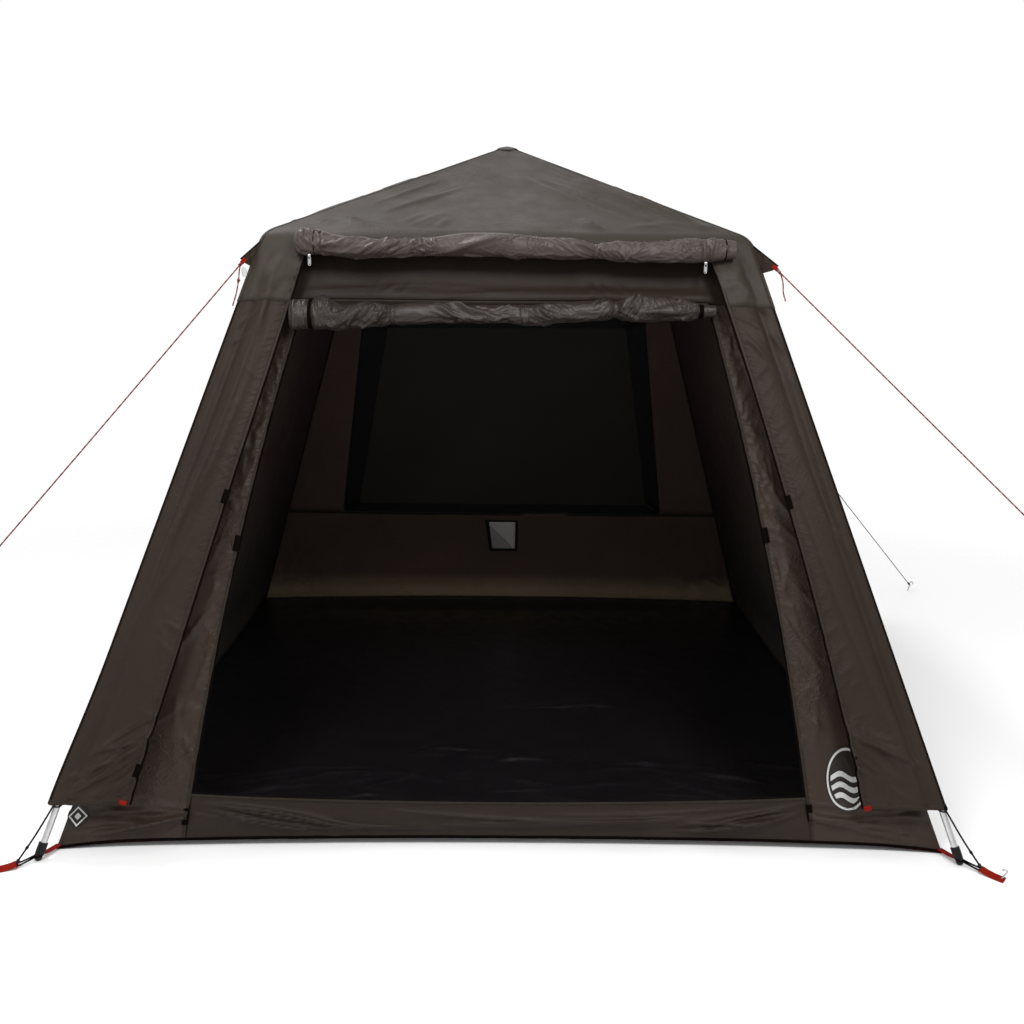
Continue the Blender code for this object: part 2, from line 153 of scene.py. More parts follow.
def noise(x, y, seed=0):
    """Smooth noise between about -1 and 1, with bumps one unit wide."""
    x, y = np.broadcast_arrays(np.asarray(x, float), np.asarray(y, float))
    x0, y0 = np.floor(x), np.floor(y)
    total = np.zeros(x.shape)
    for dx in (0, 1):
        for dy in (0, 1):
            px, py = x - x0 - dx, y - y0 - dy
            turn = scattered(x0 + dx, y0 + dy, seed) * math.tau
            slope = np.cos(turn) * px + np.sin(turn) * py
            fade_x, fade_y = 1 - np.abs(px), 1 - np.abs(py)
            fade = fade_x ** 2 * (3 - 2 * fade_x) * fade_y ** 2 * (3 - 2 * fade_y)
            total += slope * fade
    return total * 1.6


def folds(x, y, slant, width, length, seed=0):
    """Long soft folds that run at an angle to x, each about width across."""
    along = x * math.cos(slant) + y * math.sin(slant)
    aside = -x * math.sin(slant) + y * math.cos(slant)
    return noise(aside / width, along / length, seed)


def creases(x, y, slant, width, length, seed=0):
    """Folds with sharp valleys, between about -0.5 and 0.5."""
    return np.abs(folds(x, y, slant, width, length, seed)) ** 0.7 - 0.5


def crumple(x, y, width, seed=0):
    """Crossing creases, as in cloth that was rolled up by hand."""
    total = 0
    for turn, slant in enumerate((0.5, -0.7, 1.4, 2.4)):
        total = total + creases(x, y, slant, width, width * 3.0, seed + turn)
    return total / 2.2


def rays(x, y, x0, y0, count, reach, seed=0):
    """Folds that fan out from a point and fade with distance."""
    far = np.hypot(x - x0, y - y0) + 1e-6
    turn = np.arctan2(y - y0, x - x0)
    return noise(turn * count, np.log(far) * 0.8, seed) * np.exp(-far / reach) * smooth(0.0, 0.04, far)


# A place with folds: its middle and half extents, the number of folds, their slant and how far it
# varies, and their usual length, width and depth
Pleats = namedtuple("Pleats", "x y spread_x spread_y count slant turn length width depth")


def pleated(x, y, groups, seed, steep=2.4):
    """Single folds, each with a steep side and a slack one, scattered over the places that groups names."""
    x, y = np.broadcast_arrays(x, y)
    total = np.zeros(x.shape)
    for k, group in enumerate(groups):
        for i in range(group.count):
            pick = [float(scattered(i, j, seed + 3 * k)) for j in range(7)]
            x0 = group.x + group.spread_x * (2 * pick[0] - 1)
            y0 = group.y + group.spread_y * (2 * pick[1] - 1)
            slant = group.slant + group.turn * (2 * pick[2] - 1)
            length = group.length * lerp(0.6, 1.4, pick[3])
            width = group.width * lerp(0.7, 1.3, pick[4])
            reach = length / 2 + 6 * width
            near = (np.abs(x - x0) < reach) & (np.abs(y - y0) < reach)
            dx, dy = x[near] - x0, y[near] - y0
            along = (dx * math.cos(slant) + dy * math.sin(slant)) / (length / 2)
            aside = -dx * math.sin(slant) + dy * math.cos(slant)
            aside = (aside + 0.12 * length * (pick[6] - 0.5) * along ** 2) / width
            taper = np.clip(1 - along ** 2, 0, 1)
            fall = np.where(aside > 0, 1.0, steep)
            height = group.depth * lerp(0.5, 1.4, pick[5])
            total[near] += height * taper * np.exp(-fall * np.sqrt(aside ** 2 + 0.05))
    return total


# Meshes

def add_mesh(name, points, quads, material, uv=None, caps=(), sharp=None):
    """Mesh piece that rides on the tent. uv is one pair for each point, in metres; caps are larger faces."""
    points = np.asarray(points, float).reshape(-1, 3)
    quads = np.asarray(quads, int).reshape(-1, 4)
    corners = np.concatenate([quads.ravel(), *[np.asarray(cap, int) for cap in caps]]).astype(np.int32)
    totals = np.concatenate([np.full(len(quads), 4), np.array([len(cap) for cap in caps], int)])
    starts = np.concatenate([[0], np.cumsum(totals)[:-1]]).astype(np.int32)
    mesh = bpy.data.meshes.new(name)
    mesh.vertices.add(len(points))
    mesh.vertices.foreach_set("co", points.ravel())
    mesh.loops.add(len(corners))
    mesh.loops.foreach_set("vertex_index", corners)
    mesh.polygons.add(len(totals))
    mesh.polygons.foreach_set("loop_start", starts)
    mesh.update(calc_edges=True)
    if uv is not None:
        layer = mesh.uv_layers.new(name="UVMap")
        layer.data.foreach_set("uv", np.asarray(uv, float).reshape(-1, 2)[corners].ravel())
    mesh.shade_smooth()
    if sharp is not None:
        mesh.set_sharp_from_angle(angle=math.radians(sharp))
    mesh.materials.append(material)
    item = bpy.data.objects.new(name, mesh)
    bpy.context.scene.collection.objects.link(item)
    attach(item, "root")
    return item


def grid_faces(rows, columns, wrap=False):
    index = np.arange(rows * columns).reshape(rows, columns)
    if wrap:
        index = np.hstack([index, index[:, :1]])
    corners = [index[:-1, :-1], index[:-1, 1:], index[1:, 1:], index[1:, :-1]]
    return np.stack(corners, -1).reshape(-1, 4)


def merged(grids):
    """Points, faces and UV map of several grids in one mesh. grids are pairs of points and UV map."""
    points, faces, uvs, count = [], [], [], 0
    for grid, uv in grids:
        rows, columns = grid.shape[:2]
        points.append(grid.reshape(-1, 3))
        uvs.append(uv.reshape(-1, 2))
        faces.append(grid_faces(rows, columns) + count)
        count += rows * columns
    return np.concatenate(points), np.concatenate(faces), np.concatenate(uvs)


def thicken(item, thickness, lining=None):
    """Give an open sheet its thickness, inward. lining is the material of the inner face."""
    solid = item.modifiers.new("thickness", "SOLIDIFY")
    if lining is not None:
        item.data.materials.append(lining)
        solid.material_offset = 1
    solid.thickness = thickness
    solid.offset = -1.0
    return item


def add_panel(name, nodes, points, material, uv, lining=None, faces=None, caps=()):
    """Sheet of cloth that takes the place of solids of the frame. Without faces, its points are one grid."""
    if faces is None:
        faces = grid_faces(*points.shape[:2])
    panel = thicken(add_mesh(name, points, faces, material, uv, caps), CLOTH, lining)
    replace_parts(panel, *nodes)


def shares(rows, columns, first=0):
    """Shares across a panel, from first to 1, as one row, and shares up it, from 0 to 1, as one column."""
    return np.linspace(first, 1, columns)[None, :], np.linspace(0, 1, rows)[:, None]


def end_caps(rows, sides):
    """Faces that close both ends of a round mesh."""
    last = (rows - 1) * sides
    return [list(range(sides))[::-1], list(range(last, last + sides))]


def turns_of(sides):
    return np.arange(sides) * math.tau / sides


def ring(centre, first, second, count):
    """Closed line round a centre, with the radius along each of two directions."""
    turn = np.linspace(0, math.tau, count)
    return centre + np.outer(np.cos(turn), first) + np.outer(np.sin(turn), second)


def up_by(height):
    return np.array((0.0, 0.0, height))


def unit(vectors):
    return vectors / np.maximum(np.linalg.norm(vectors, axis=-1, keepdims=True), 1e-12)


def distances(points):
    return np.concatenate([[0.0], np.cumsum(np.linalg.norm(np.diff(points, axis=0), axis=1))])


def sampled(spots, far, line):
    return np.stack([np.interp(spots, far, line[:, k]) for k in range(3)], 1)


def strip(name, middle, out, width, thick, material, closed=False, sharp=50):
    """Flat strip along a line. middle and out are arrays of points and of directions away from the cloth."""
    middle, out = np.asarray(middle, float), unit(np.broadcast_to(np.asarray(out, float), np.shape(middle)))
    if closed:
        along = unit(np.roll(middle, -1, 0) - np.roll(middle, 1, 0))
    else:
        along = unit(np.gradient(middle, axis=0))
    aside = unit(np.cross(along, out))
    half = np.broadcast_to(np.asarray(width, float) / 2, (len(middle),))[:, None]
    edge = thick * 0.35
    outline = [(-1, 0, 0.0), (-1, 0, thick - edge), (-1, 1, thick), (0, 0, thick * 1.12),
               (1, -1, thick), (1, 0, thick - edge), (1, 0, 0.0)]
    rings = np.stack([middle + aside * (half * a + edge * b) + out * c for a, b, c in outline], 1)
    far = distances(middle)
    count = len(outline)
    uv = [[(half[k, 0] * (1 + a), far[k]) for a, _, _ in outline] for k in range(len(middle))]
    faces = grid_faces(len(middle), count, wrap=True)
    if closed:
        last = (len(middle) - 1) * count
        joint = [(last + k, last + (k + 1) % count, (k + 1) % count, k) for k in range(count)]
        return add_mesh(name, rings, np.vstack([faces, joint]), material, uv, sharp=sharp)
    return add_mesh(name, rings, faces, material, uv, end_caps(len(middle), count), sharp)


def tube(name, middle, radius, material, sides=8, sharp=60):
    """Round cord or rod along a line of points. radius is one number or one for each point."""
    middle = np.asarray(middle, float)
    radius = np.broadcast_to(np.asarray(radius, float), (len(middle),))
    along = unit(np.gradient(middle, axis=0))
    first = unit(np.cross(along[0], (0.31, 0.47, 0.83)))
    firsts = []
    for direction in along:
        first = unit(first - direction * np.dot(first, direction))
        firsts.append(first)
    firsts = np.array(firsts)
    seconds = np.cross(along, firsts)
    turns = turns_of(sides)
    rings = (middle[:, None] + radius[:, None, None] * (
        firsts[:, None] * np.cos(turns)[None, :, None] + seconds[:, None] * np.sin(turns)[None, :, None]))
    uv = [[(k / sides, d) for k in range(sides)] for d in distances(middle)]
    return add_mesh(name, rings, grid_faces(len(middle), sides, wrap=True), material, uv,
                    end_caps(len(middle), sides), sharp)


def walk(points, outs, pitch):
    """Evenly spaced places on a line: points, directions along it and directions away from the cloth."""
    points, outs = np.asarray(points, float), np.broadcast_to(np.asarray(outs, float), np.shape(points))
    far = distances(points)
    spots = np.arange(pitch / 2, far[-1], pitch)
    along = np.gradient(points, axis=0)
    return [sampled(spots, far, part) for part in (points, along, outs)]


def add_bits(name, lines, pitch, size, material, lift=0.0):
    """Rows of small blocks in one mesh, for stitches or zip teeth. lines are pairs of points and outs."""
    length, width, height = size
    base = [(-0.5, -0.5, 0), (0.5, -0.5, 0), (0.5, 0.5, 0), (-0.5, 0.5, 0)]
    top = [(a * 0.62, b * 0.6, 1) for a, b, _ in base]
    cube = [(0, 3, 2, 1), (4, 5, 6, 7), (0, 1, 5, 4), (1, 2, 6, 5), (2, 3, 7, 6), (3, 0, 4, 7)]
    all_points, all_faces, count = [], [], 0
    for points, outs in lines:
        centre, along, out = walk(points, outs, pitch)
        along, out = unit(along), unit(out)
        aside = unit(np.cross(along, out))
        block = np.stack([centre + along * (a * length) + aside * (b * width) + out * (lift + c * height)
                          for a, b, c in base + top], 1)
        all_points.append(block.reshape(-1, 3))
        first = count + 8 * np.arange(len(centre))
        all_faces.append((first[:, None, None] + np.array(cube)[None]).reshape(-1, 4))
        count += 8 * len(centre)
    points = np.concatenate(all_points)
    return add_mesh(name, points, np.concatenate(all_faces), material, points[:, [0, 2]], sharp=80)


def shifted(points, outs, aside_by, lift=0.0):
    """The same line moved sideways on the cloth, and away from it."""
    points = np.asarray(points, float)
    outs = unit(np.broadcast_to(np.asarray(outs, float), points.shape))
    aside = unit(np.cross(unit(np.gradient(points, axis=0)), outs))
    return points + aside * aside_by + outs * lift, outs


def curve_through(points, count):
    """Evenly spaced points on a smooth curve through a few points."""
    points = [Vector(p) for p in points]
    ends = [points[0] * 2 - points[1], *points, points[-1] * 2 - points[-2]]
    fine = []
    for a, b, c, d in zip(ends, ends[1:], ends[2:], ends[3:]):
        for i in range(24):
            t = i / 24
            fine.append(0.5 * (2 * b + (c - a) * t + (2 * a - 5 * b + 4 * c - d) * t * t
                               + (3 * b - a - 3 * c + d) * t ** 3))
    fine.append(points[-1])
    fine = np.array([tuple(p) for p in fine])
    far = distances(fine)
    return sampled(np.linspace(0.0, far[-1], count), far, fine)


# Materials

Nodes = namedtuple("Nodes", "tree shader")


def new_material(name, roughness, specular=0.5, metallic=0.0, sheen=0.0):
    material = bpy.data.materials.new(name)
    material.use_nodes = True
    tree = material.node_tree
    shader = tree.nodes["Principled BSDF"]
    for socket, value in (("Roughness", roughness), ("Specular IOR Level", specular), ("Metallic", metallic),
                          ("Sheen Weight", sheen), ("Sheen Roughness", 0.4)):
        shader.inputs[socket].default_value = value
    return material, Nodes(tree, shader)


def add_node(nodes, kind, inputs=(), **settings):
    """A shader node. inputs are pairs of a socket's name or number and a value or another node's output."""
    node = nodes.tree.nodes.new(kind)
    for key, value in settings.items():
        setattr(node, key, value)
    for socket, value in inputs:
        if isinstance(value, bpy.types.NodeSocket):
            nodes.tree.links.new(value, node.inputs[socket])
        else:
            node.inputs[socket].default_value = value
    return node


def place_in(nodes, kind):
    return add_node(nodes, "ShaderNodeTexCoord").outputs[kind]


def noise_in(nodes, where, scale, detail=3.0, rough=0.55):
    node = add_node(nodes, "ShaderNodeTexNoise", [("Vector", where), ("Scale", scale), ("Detail", detail),
                                                  ("Roughness", rough)])
    return node.outputs["Fac"]


def length_of(nodes, vector):
    return add_node(nodes, "ShaderNodeVectorMath", [(0, vector)], operation="LENGTH").outputs["Value"]


def spread(nodes, value, low, high, new_low=0.0, new_high=1.0):
    """A value moved from the range low to high into another range, and held inside it."""
    node = add_node(nodes, "ShaderNodeMapRange", [("Value", value), ("From Min", low), ("From Max", high),
                                                  ("To Min", new_low), ("To Max", new_high)])
    return node.outputs["Result"]


def mixed(nodes, share, first, second):
    """First colour at share 0 and second at share 1."""
    node = add_node(nodes, "ShaderNodeMix", [(0, share), (6, first), (7, second)], data_type="RGBA")
    return node.outputs[2]


def combine(nodes, operation, first, second=0.0):
    return add_node(nodes, "ShaderNodeMath", [(0, first), (1, second)], operation=operation).outputs[0]


def product(nodes, first, second):
    return combine(nodes, "MULTIPLY", first, second)


def vector_product(nodes, first, second):
    node = add_node(nodes, "ShaderNodeVectorMath", [(0, first), (1, second)], operation="MULTIPLY")
    return node.outputs[0]


def split(nodes, vector):
    """The X, Y and Z of a vector."""
    return add_node(nodes, "ShaderNodeSeparateXYZ", [("Vector", vector)]).outputs


def mapped(nodes, where, **settings):
    """Coordinates that are moved, turned or scaled, by the sockets Location, Rotation and Scale."""
    return add_node(nodes, "ShaderNodeMapping", [("Vector", where), *settings.items()]).outputs[0]


def bump(nodes, height, distance, strength=1.0, onto=None):
    inputs = [("Height", height), ("Distance", distance), ("Strength", strength)]
    if onto is not None:
        inputs.append(("Normal", onto))
    return add_node(nodes, "ShaderNodeBump", inputs).outputs["Normal"]


def finish_with(nodes, **values):
    """Link outputs to the main shader, by the names of its sockets with underscores."""
    for socket, value in values.items():
        nodes.tree.links.new(value, nodes.shader.inputs[socket.replace("_", " ")])


def shader_colour(screen):
    """Shader colour from a colour as it shows on a screen, 0 to 255."""
    values = [value / 255 for value in screen]
    return (*[v / 12.92 if v <= 0.04045 else ((v + 0.055) / 1.055) ** 2.4 for v in values], 1.0)


def scaled(colour, share):
    return (colour[0] * share, colour[1] * share, colour[2] * share, 1.0)


def woven(nodes, pitch):
    """Plain weave over the UV map: bands one way and the other."""
    uv = place_in(nodes, "UV")
    bands = []
    for direction in ("X", "Y"):
        wave = add_node(nodes, "ShaderNodeTexWave", [("Vector", uv), ("Scale", math.pi / (10 * pitch))],
                        bands_direction=direction)
        bands.append(wave.outputs["Fac"])
    return product(nodes, *bands)


CREASE_LENGTH, CREASE_WIDTH, CREASE_THIN = 0.14, 0.030, 0.030
CREASE_TURNS = ((0.3, 0.6, 0.2), (0.1, -0.8, 0.5), (0.5, 1.5, -0.4))
PUCKER_REACH, PUCKER_PITCH = 0.038, 0.011


def crease_lines(nodes, where):
    """Thin lines that run several ways, as in cloth that was folded by hand."""
    scale = (1 / CREASE_LENGTH, 1 / CREASE_WIDTH, 1 / CREASE_WIDTH)
    lines = None
    for k, turn in enumerate(CREASE_TURNS):
        moved = mapped(nodes, where, Location=(3.1 * k, 1.7 * k, 0.0), Rotation=turn)
        drawn = noise_in(nodes, mapped(nodes, moved, Scale=scale), 1.0, 2.0, 0.45)
        middle = combine(nodes, "ABSOLUTE", combine(nodes, "SUBTRACT", drawn, 0.5))
        line = spread(nodes, middle, 0.0, CREASE_THIN, 1.0, 0.0)
        lines = line if lines is None else combine(nodes, "MAXIMUM", lines, line)
    return lines


def gathered(nodes):
    """Puckers that run away from a seam. The UV map's X is the distance from it."""
    aside, along, _ = split(nodes, place_in(nodes, "UV"))
    slanted = combine(nodes, "ADD", along, product(nodes, aside, 0.35))
    place = add_node(nodes, "ShaderNodeCombineXYZ", [("X", product(nodes, aside, 0.22 / PUCKER_PITCH)),
                                                     ("Y", product(nodes, slanted, 1 / PUCKER_PITCH))])
    ridges = spread(nodes, noise_in(nodes, place.outputs[0], 1.0, 1.0, 0.4), 0.35, 0.70)
    patches = add_node(nodes, "ShaderNodeCombineXYZ", [("Y", product(nodes, along, 9.0))])
    strength = spread(nodes, noise_in(nodes, patches.outputs[0], 1.0, 2.0), 0.36, 0.62, 0.15, 1.0)
    fade = combine(nodes, "POWER", spread(nodes, aside, 0.0, PUCKER_REACH, 1.0, 0.0), 1.4)
    return product(nodes, product(nodes, ridges, strength), fade)


def cloth_material(name, colour, roughness=0.55, pitch=0.0007, fine=0.0004, sheen=0.02, specular=0.14,
                   crinkle=0.0006, lower=None, lower_z=TUB_Z, fade=0.045, weave=0.5, gathers=0.0):
    """Coated polyester: fine weave, small puckers and uneven tone.

    lower is the colour below lower_z, and fade how far up and down the change of colour reaches. gathers is
    the depth of the puckers along a zip.
    """
    material, nodes = new_material(name, roughness, specular, sheen=sheen)
    where = place_in(nodes, "Object")
    colour = shader_colour(colour)
    base = colour[:3]
    if lower is not None:
        height = spread(nodes, split(nodes, where)["Z"], lower_z - fade, lower_z + fade)
        base = mixed(nodes, height, shader_colour(lower), colour)
    broad = spread(nodes, noise_in(nodes, where, 2.2, 4.0), 0.30, 0.70)
    small = spread(nodes, noise_in(nodes, where, 85.0, 3.0), 0.25, 0.75)
    tone = mixed(nodes, broad, (0.86, 0.86, 0.86, 1.0), (1.10, 1.09, 1.07, 1.0))
    speck = mixed(nodes, small, (0.94, 0.94, 0.94, 1.0), (1.06, 1.06, 1.06, 1.0))
    rough = spread(nodes, noise_in(nodes, where, 14.0, 3.0), 0.3, 0.7, roughness - 0.06, roughness + 0.08)
    shaded = vector_product(nodes, vector_product(nodes, tone, speck), base)
    finish_with(nodes, Base_Color=shaded, Roughness=rough)
    surface = bump(nodes, noise_in(nodes, where, 30.0, 5.0, 0.6), fine, 0.8) if fine else None
    patchy = spread(nodes, noise_in(nodes, where, 5.0, 2.0), 0.46, 0.62)
    if crinkle:
        surface = bump(nodes, product(nodes, crease_lines(nodes, where), patchy), crinkle, 1.0, surface)
    if gathers:
        surface = bump(nodes, gathered(nodes), gathers, 1.0, surface)
    if weave:
        surface = bump(nodes, woven(nodes, pitch), pitch * 0.25, weave, surface)
    if surface is not None:
        finish_with(nodes, Normal=surface)
    return material


def webbing_material(name, colour, roughness=0.80, specular=0.05):
    """Woven tape: ribs across its width, painted shade in the grooves between them, and a worn, uneven tone.
    """
    material, nodes = new_material(name, roughness, specular)
    colour = shader_colour(colour)
    uv = place_in(nodes, "UV")
    rib = add_node(nodes, "ShaderNodeTexWave", [("Vector", uv), ("Scale", math.pi / (10 * 0.0016)),
                                                ("Distortion", 0.6)], bands_direction="Y")
    edge = add_node(nodes, "ShaderNodeTexWave", [("Vector", uv), ("Scale", math.pi / (10 * 0.0022))],
                    bands_direction="X")
    height = combine(nodes, "ADD", rib.outputs["Fac"], edge.outputs["Fac"])
    wear = spread(nodes, noise_in(nodes, place_in(nodes, "Object"), 60.0, 4.0), 0.3, 0.75)
    tone = mixed(nodes, wear, scaled(colour, 0.78), scaled(colour, 1.15))
    # Colour darkens where the rib bump is low: painted shade in the grooves.
    groove_shaded_tone = mixed(nodes, spread(nodes, rib.outputs["Fac"], 0.0, 0.4), scaled(colour, 0.6), tone)
    finish_with(nodes, Base_Color=groove_shaded_tone, Normal=bump(nodes, height, 0.0004, 0.8))
    return material


def plastic_material(name, colour, roughness=0.42, specular=0.25):
    """Moulded plastic: fine spark-eroded grain and a few rubbed places."""
    material, nodes = new_material(name, roughness, specular)
    colour = shader_colour(colour)
    where = place_in(nodes, "Object")
    rubbed = spread(nodes, noise_in(nodes, where, 45.0, 4.0), 0.52, 0.72)
    rough = spread(nodes, noise_in(nodes, where, 120.0, 2.0), 0.3, 0.7, roughness - 0.08, roughness + 0.12)
    finish_with(nodes, Base_Color=mixed(nodes, rubbed, colour, scaled(colour, 1.9)), Roughness=rough,
                Normal=bump(nodes, noise_in(nodes, where, 900.0, 2.0), 0.0002, 0.5))
    return material


def metal_material(name, colour, roughness):
    """Drawn metal: thin lines along its length and light scuffs. colour is as the shader takes it."""
    material, nodes = new_material(name, roughness, 0.5, metallic=1.0)
    where = place_in(nodes, "Object")
    lines = noise_in(nodes, mapped(nodes, where, Scale=(1.0, 1.0, 0.04)), 700.0, 3.0)
    scuffs = spread(nodes, noise_in(nodes, where, 30.0, 5.0), 0.45, 0.75)
    tone = mixed(nodes, lines, scaled(colour, 0.88), scaled(colour, 1.08))
    finish_with(nodes, Base_Color=mixed(nodes, scuffs, tone, scaled(colour, 0.72)),
                Roughness=spread(nodes, scuffs, 0.0, 1.0, roughness, roughness + 0.2),
                Normal=bump(nodes, lines, 0.0001, 0.4))
    return material


def cord_material(name, colour, dark, pale, pitch=0.012):
    """Round braided cord with dark and pale flecks."""
    material, nodes = new_material(name, 0.7, 0.1, sheen=0.05)
    colour, dark, pale = (shader_colour(part) for part in (colour, dark, pale))
    around, along, _ = split(nodes, place_in(nodes, "UV"))
    far = combine(nodes, "DIVIDE", along, pitch)
    one_way = combine(nodes, "FRACT", combine(nodes, "ADD", far, around))
    other = combine(nodes, "FRACT", combine(nodes, "SUBTRACT", product(nodes, far, 0.5), around))
    tone = mixed(nodes, combine(nodes, "LESS_THAN", one_way, 0.42), colour, dark)
    flecked = mixed(nodes, combine(nodes, "LESS_THAN", other, 0.10), tone, pale)
    strands = combine(nodes, "ADD", product(nodes, along, 900.0), product(nodes, around, 12.0))
    wave = combine(nodes, "SINE", product(nodes, strands, 3.14))
    finish_with(nodes, Base_Color=flecked, Normal=bump(nodes, wave, 0.0003, 0.7))
    return material


def net_material(name, colour, pitch=0.0018):
    """Fine insect net: small dark holes between threads."""
    material, nodes = new_material(name, 0.7, 0.3, sheen=0.1)
    colour = shader_colour(colour)
    uv = place_in(nodes, "UV")
    cells = add_node(nodes, "ShaderNodeTexVoronoi", [("Vector", uv), ("Scale", 1 / pitch),
                                                     ("Randomness", 0.15)])
    hole = spread(nodes, cells.outputs["Distance"], 0.20, 0.42)
    broad = spread(nodes, noise_in(nodes, place_in(nodes, "Object"), 1.8, 4.0), 0.3, 0.7)
    thread = mixed(nodes, broad, scaled(colour, 0.8), scaled(colour, 1.25))
    finish_with(nodes, Base_Color=mixed(nodes, hole, scaled(colour, 0.25), thread),
                Normal=bump(nodes, hole, 0.0004, 0.6))
    return material


def print_material(name, ground, ink, oval):
    """Ink on cloth, over a UV map from -1 to 1: an oval rim with wave stripes, or a small plain diamond."""
    material, nodes = new_material(name, 0.55, 0.28)
    ground, ink = shader_colour(ground), shader_colour(ink)
    uv = place_in(nodes, "UV")
    aside, up, _ = split(nodes, uv)

    def below(value, limit):
        return combine(nodes, "LESS_THAN", value, limit)

    def above(value, limit):
        return combine(nodes, "GREATER_THAN", value, limit)
    if oval:
        far = length_of(nodes, uv)
        rim_low, rim_high = 0.86, 0.94
        wave = product(nodes, combine(nodes, "SINE", product(nodes, aside, 5.0)), 0.09)
        raised = combine(nodes, "ADD", wave, up)
        stripes = combine(nodes, "FRACT", product(nodes, raised, 3.2))
        inside = below(stripes, 0.52)
        for limit in (below(raised, 0.31), above(raised, -0.64), below(far, 0.76)):
            inside = product(nodes, inside, limit)
    else:
        far = combine(nodes, "ADD", combine(nodes, "ABSOLUTE", aside), combine(nodes, "ABSOLUTE", up))
        rim_low, rim_high = 0.74, 0.94
        inside = below(far, 0.34)
    share = combine(nodes, "MAXIMUM", product(nodes, above(far, rim_low), below(far, rim_high)), inside)
    where = place_in(nodes, "Object")
    worn = spread(nodes, noise_in(nodes, where, 90.0, 4.0), 0.25, 0.75)
    cloth = bump(nodes, noise_in(nodes, where, 30.0, 5.0, 0.6), 0.0004, 0.8)
    finish_with(nodes, Base_Color=mixed(nodes, share, ground, mixed(nodes, worn, scaled(ink, 0.86), ink)),
                Normal=bump(nodes, share, 0.0002, 0.6, cloth))
    return material


# Roof cloth: set lighter than the wall cloth, which is the same fabric; the difference is painted light from
# above.
ROOF_CLOTH = cloth_material("roof_cloth", (44, 37, 31), 0.50, specular=0.20)
WALL_CLOTH = cloth_material("wall_cloth", (38, 30, 24), 0.48)
PANEL_CLOTH = cloth_material("panel_cloth", (40, 31, 25), 0.48, crinkle=0.0004, gathers=0.0060)
# Front of the inner tent beside the door: set lighter than the same cloth of its sill and header
# (inner_cloth); the difference is painted light.
FLANGE_CLOTH = cloth_material("flange_cloth", (47, 37, 31), 0.46, specular=0.18, crinkle=0.0012,
                              gathers=0.0050)
# Rolled doors: set lighter than the flat cloth they are rolled from (panel_cloth and inner_cloth); the
# difference is painted light on the rolls.
ROLL_CLOTH = cloth_material("roll_cloth", (58, 48, 44), 0.40, sheen=0.03, specular=0.34, crinkle=0.0014)
DOOR_CLOTH = cloth_material("door_cloth", (43, 35, 31), 0.40, sheen=0.03, specular=0.34, crinkle=0.0014)
INNER_CLOTH = cloth_material("inner_cloth", (36, 28, 23), 0.48, crinkle=0.0002)
# Inside faces of the inner tent: far lighter than the same cloth outside (inner_cloth), painted light that
# stands in for light coming through the cloth. The cabin's band below 0.112 m is lighter and olive; the side
# walls turn darker and greener towards the bottom.
LIT_CABIN_CLOTH = cloth_material("lit_cabin_cloth", (82, 66, 60), 0.75, specular=0.1, sheen=0.0,
                             lower=(122, 107, 87), lower_z=0.112)
LIT_SIDE_CLOTH = cloth_material("lit_side_cloth", (77, 63, 60), 0.75, specular=0.1, sheen=0.0,
                            lower=(56, 53, 48), lower_z=0.60, fade=0.40)
FLOOR_CLOTH = cloth_material("floor_cloth", (20, 18, 20), 0.34, fine=0.0, sheen=0.0, specular=0.45,
                             crinkle=0.0, weave=0.0)
BLACK_CLOTH = cloth_material("black_cloth", (27, 25, 28), 0.60, sheen=0.0)
CARD = cloth_material("card", (196, 194, 190), 0.45, sheen=0.0)
# Darker copy of the card, for the label's folded corner: painted shade.
SHADED_FOLD_CARD = cloth_material("shaded_fold_card", (160, 158, 154), 0.45, sheen=0.0)
BINDING = webbing_material("binding", (50, 44, 39))
DARK_BINDING = webbing_material("dark_binding", (22, 15, 11), 0.85, 0.01)
BLACK_TAPE = webbing_material("black_tape", (13, 9, 8), 0.85, 0.01)
RED_TAPE = webbing_material("red_tape", (136, 26, 16))
MAROON_TAPE = webbing_material("maroon_tape", (52, 12, 11))
THREAD = webbing_material("thread", (52, 47, 42))
BLACK_PLASTIC = plastic_material("black_plastic", (10, 10, 11))
ZIP_PLASTIC = plastic_material("zip_plastic", (18, 11, 9), 0.60, 0.04)
WHITE_PLASTIC = plastic_material("white_plastic", (176, 178, 174))
SILVER = metal_material("silver_tube", (0.62, 0.62, 0.63, 1.0), 0.33)
STEEL = metal_material("steel", (0.55, 0.55, 0.56, 1.0), 0.28)
NET = net_material("net", (46, 43, 38))
GUY_CORD = cord_material("guy_cord", (140, 36, 34), (34, 16, 18), (176, 160, 158))
# Darker copy of the guy cord, for the rear lines: painted shade.
SHADED_GUY_CORD = cord_material("shaded_guy_cord", (52, 34, 31), (20, 18, 18), (90, 80, 77))
BADGE_PRINT = print_material("badge_print", (34, 28, 24), (184, 184, 182), True)
MARK_PRINT = print_material("mark_print", (34, 28, 24), (196, 196, 194), False)
ELASTIC = cord_material("elastic_cord", (9, 9, 10), (6, 6, 7), (26, 26, 28), 0.006)


# Sheets and what is sewn to them

# Size of a sheet laid flat, how it is held, what it rests on, and the share of that size which it fills
Cut = namedtuple("Cut", "flat held rests_on share")
SEWN = {}


def sew(item, sheet):
    """Note in SEWN that a piece is sewn to a sheet."""
    SEWN.setdefault(sheet, []).append(item)
    return item


# Places on the leaning walls

def spans(skin, side, z):
    """Distance of a wall from the middle, and its half length, at height z."""
    rise = z / skin.eave_z
    half_x = lerp(skin.foot_x, skin.eave, rise)
    half_y = lerp(skin.foot_y, skin.eave, rise)
    return (half_y, half_x) if side in ("front", "rear") else (half_x, half_y)


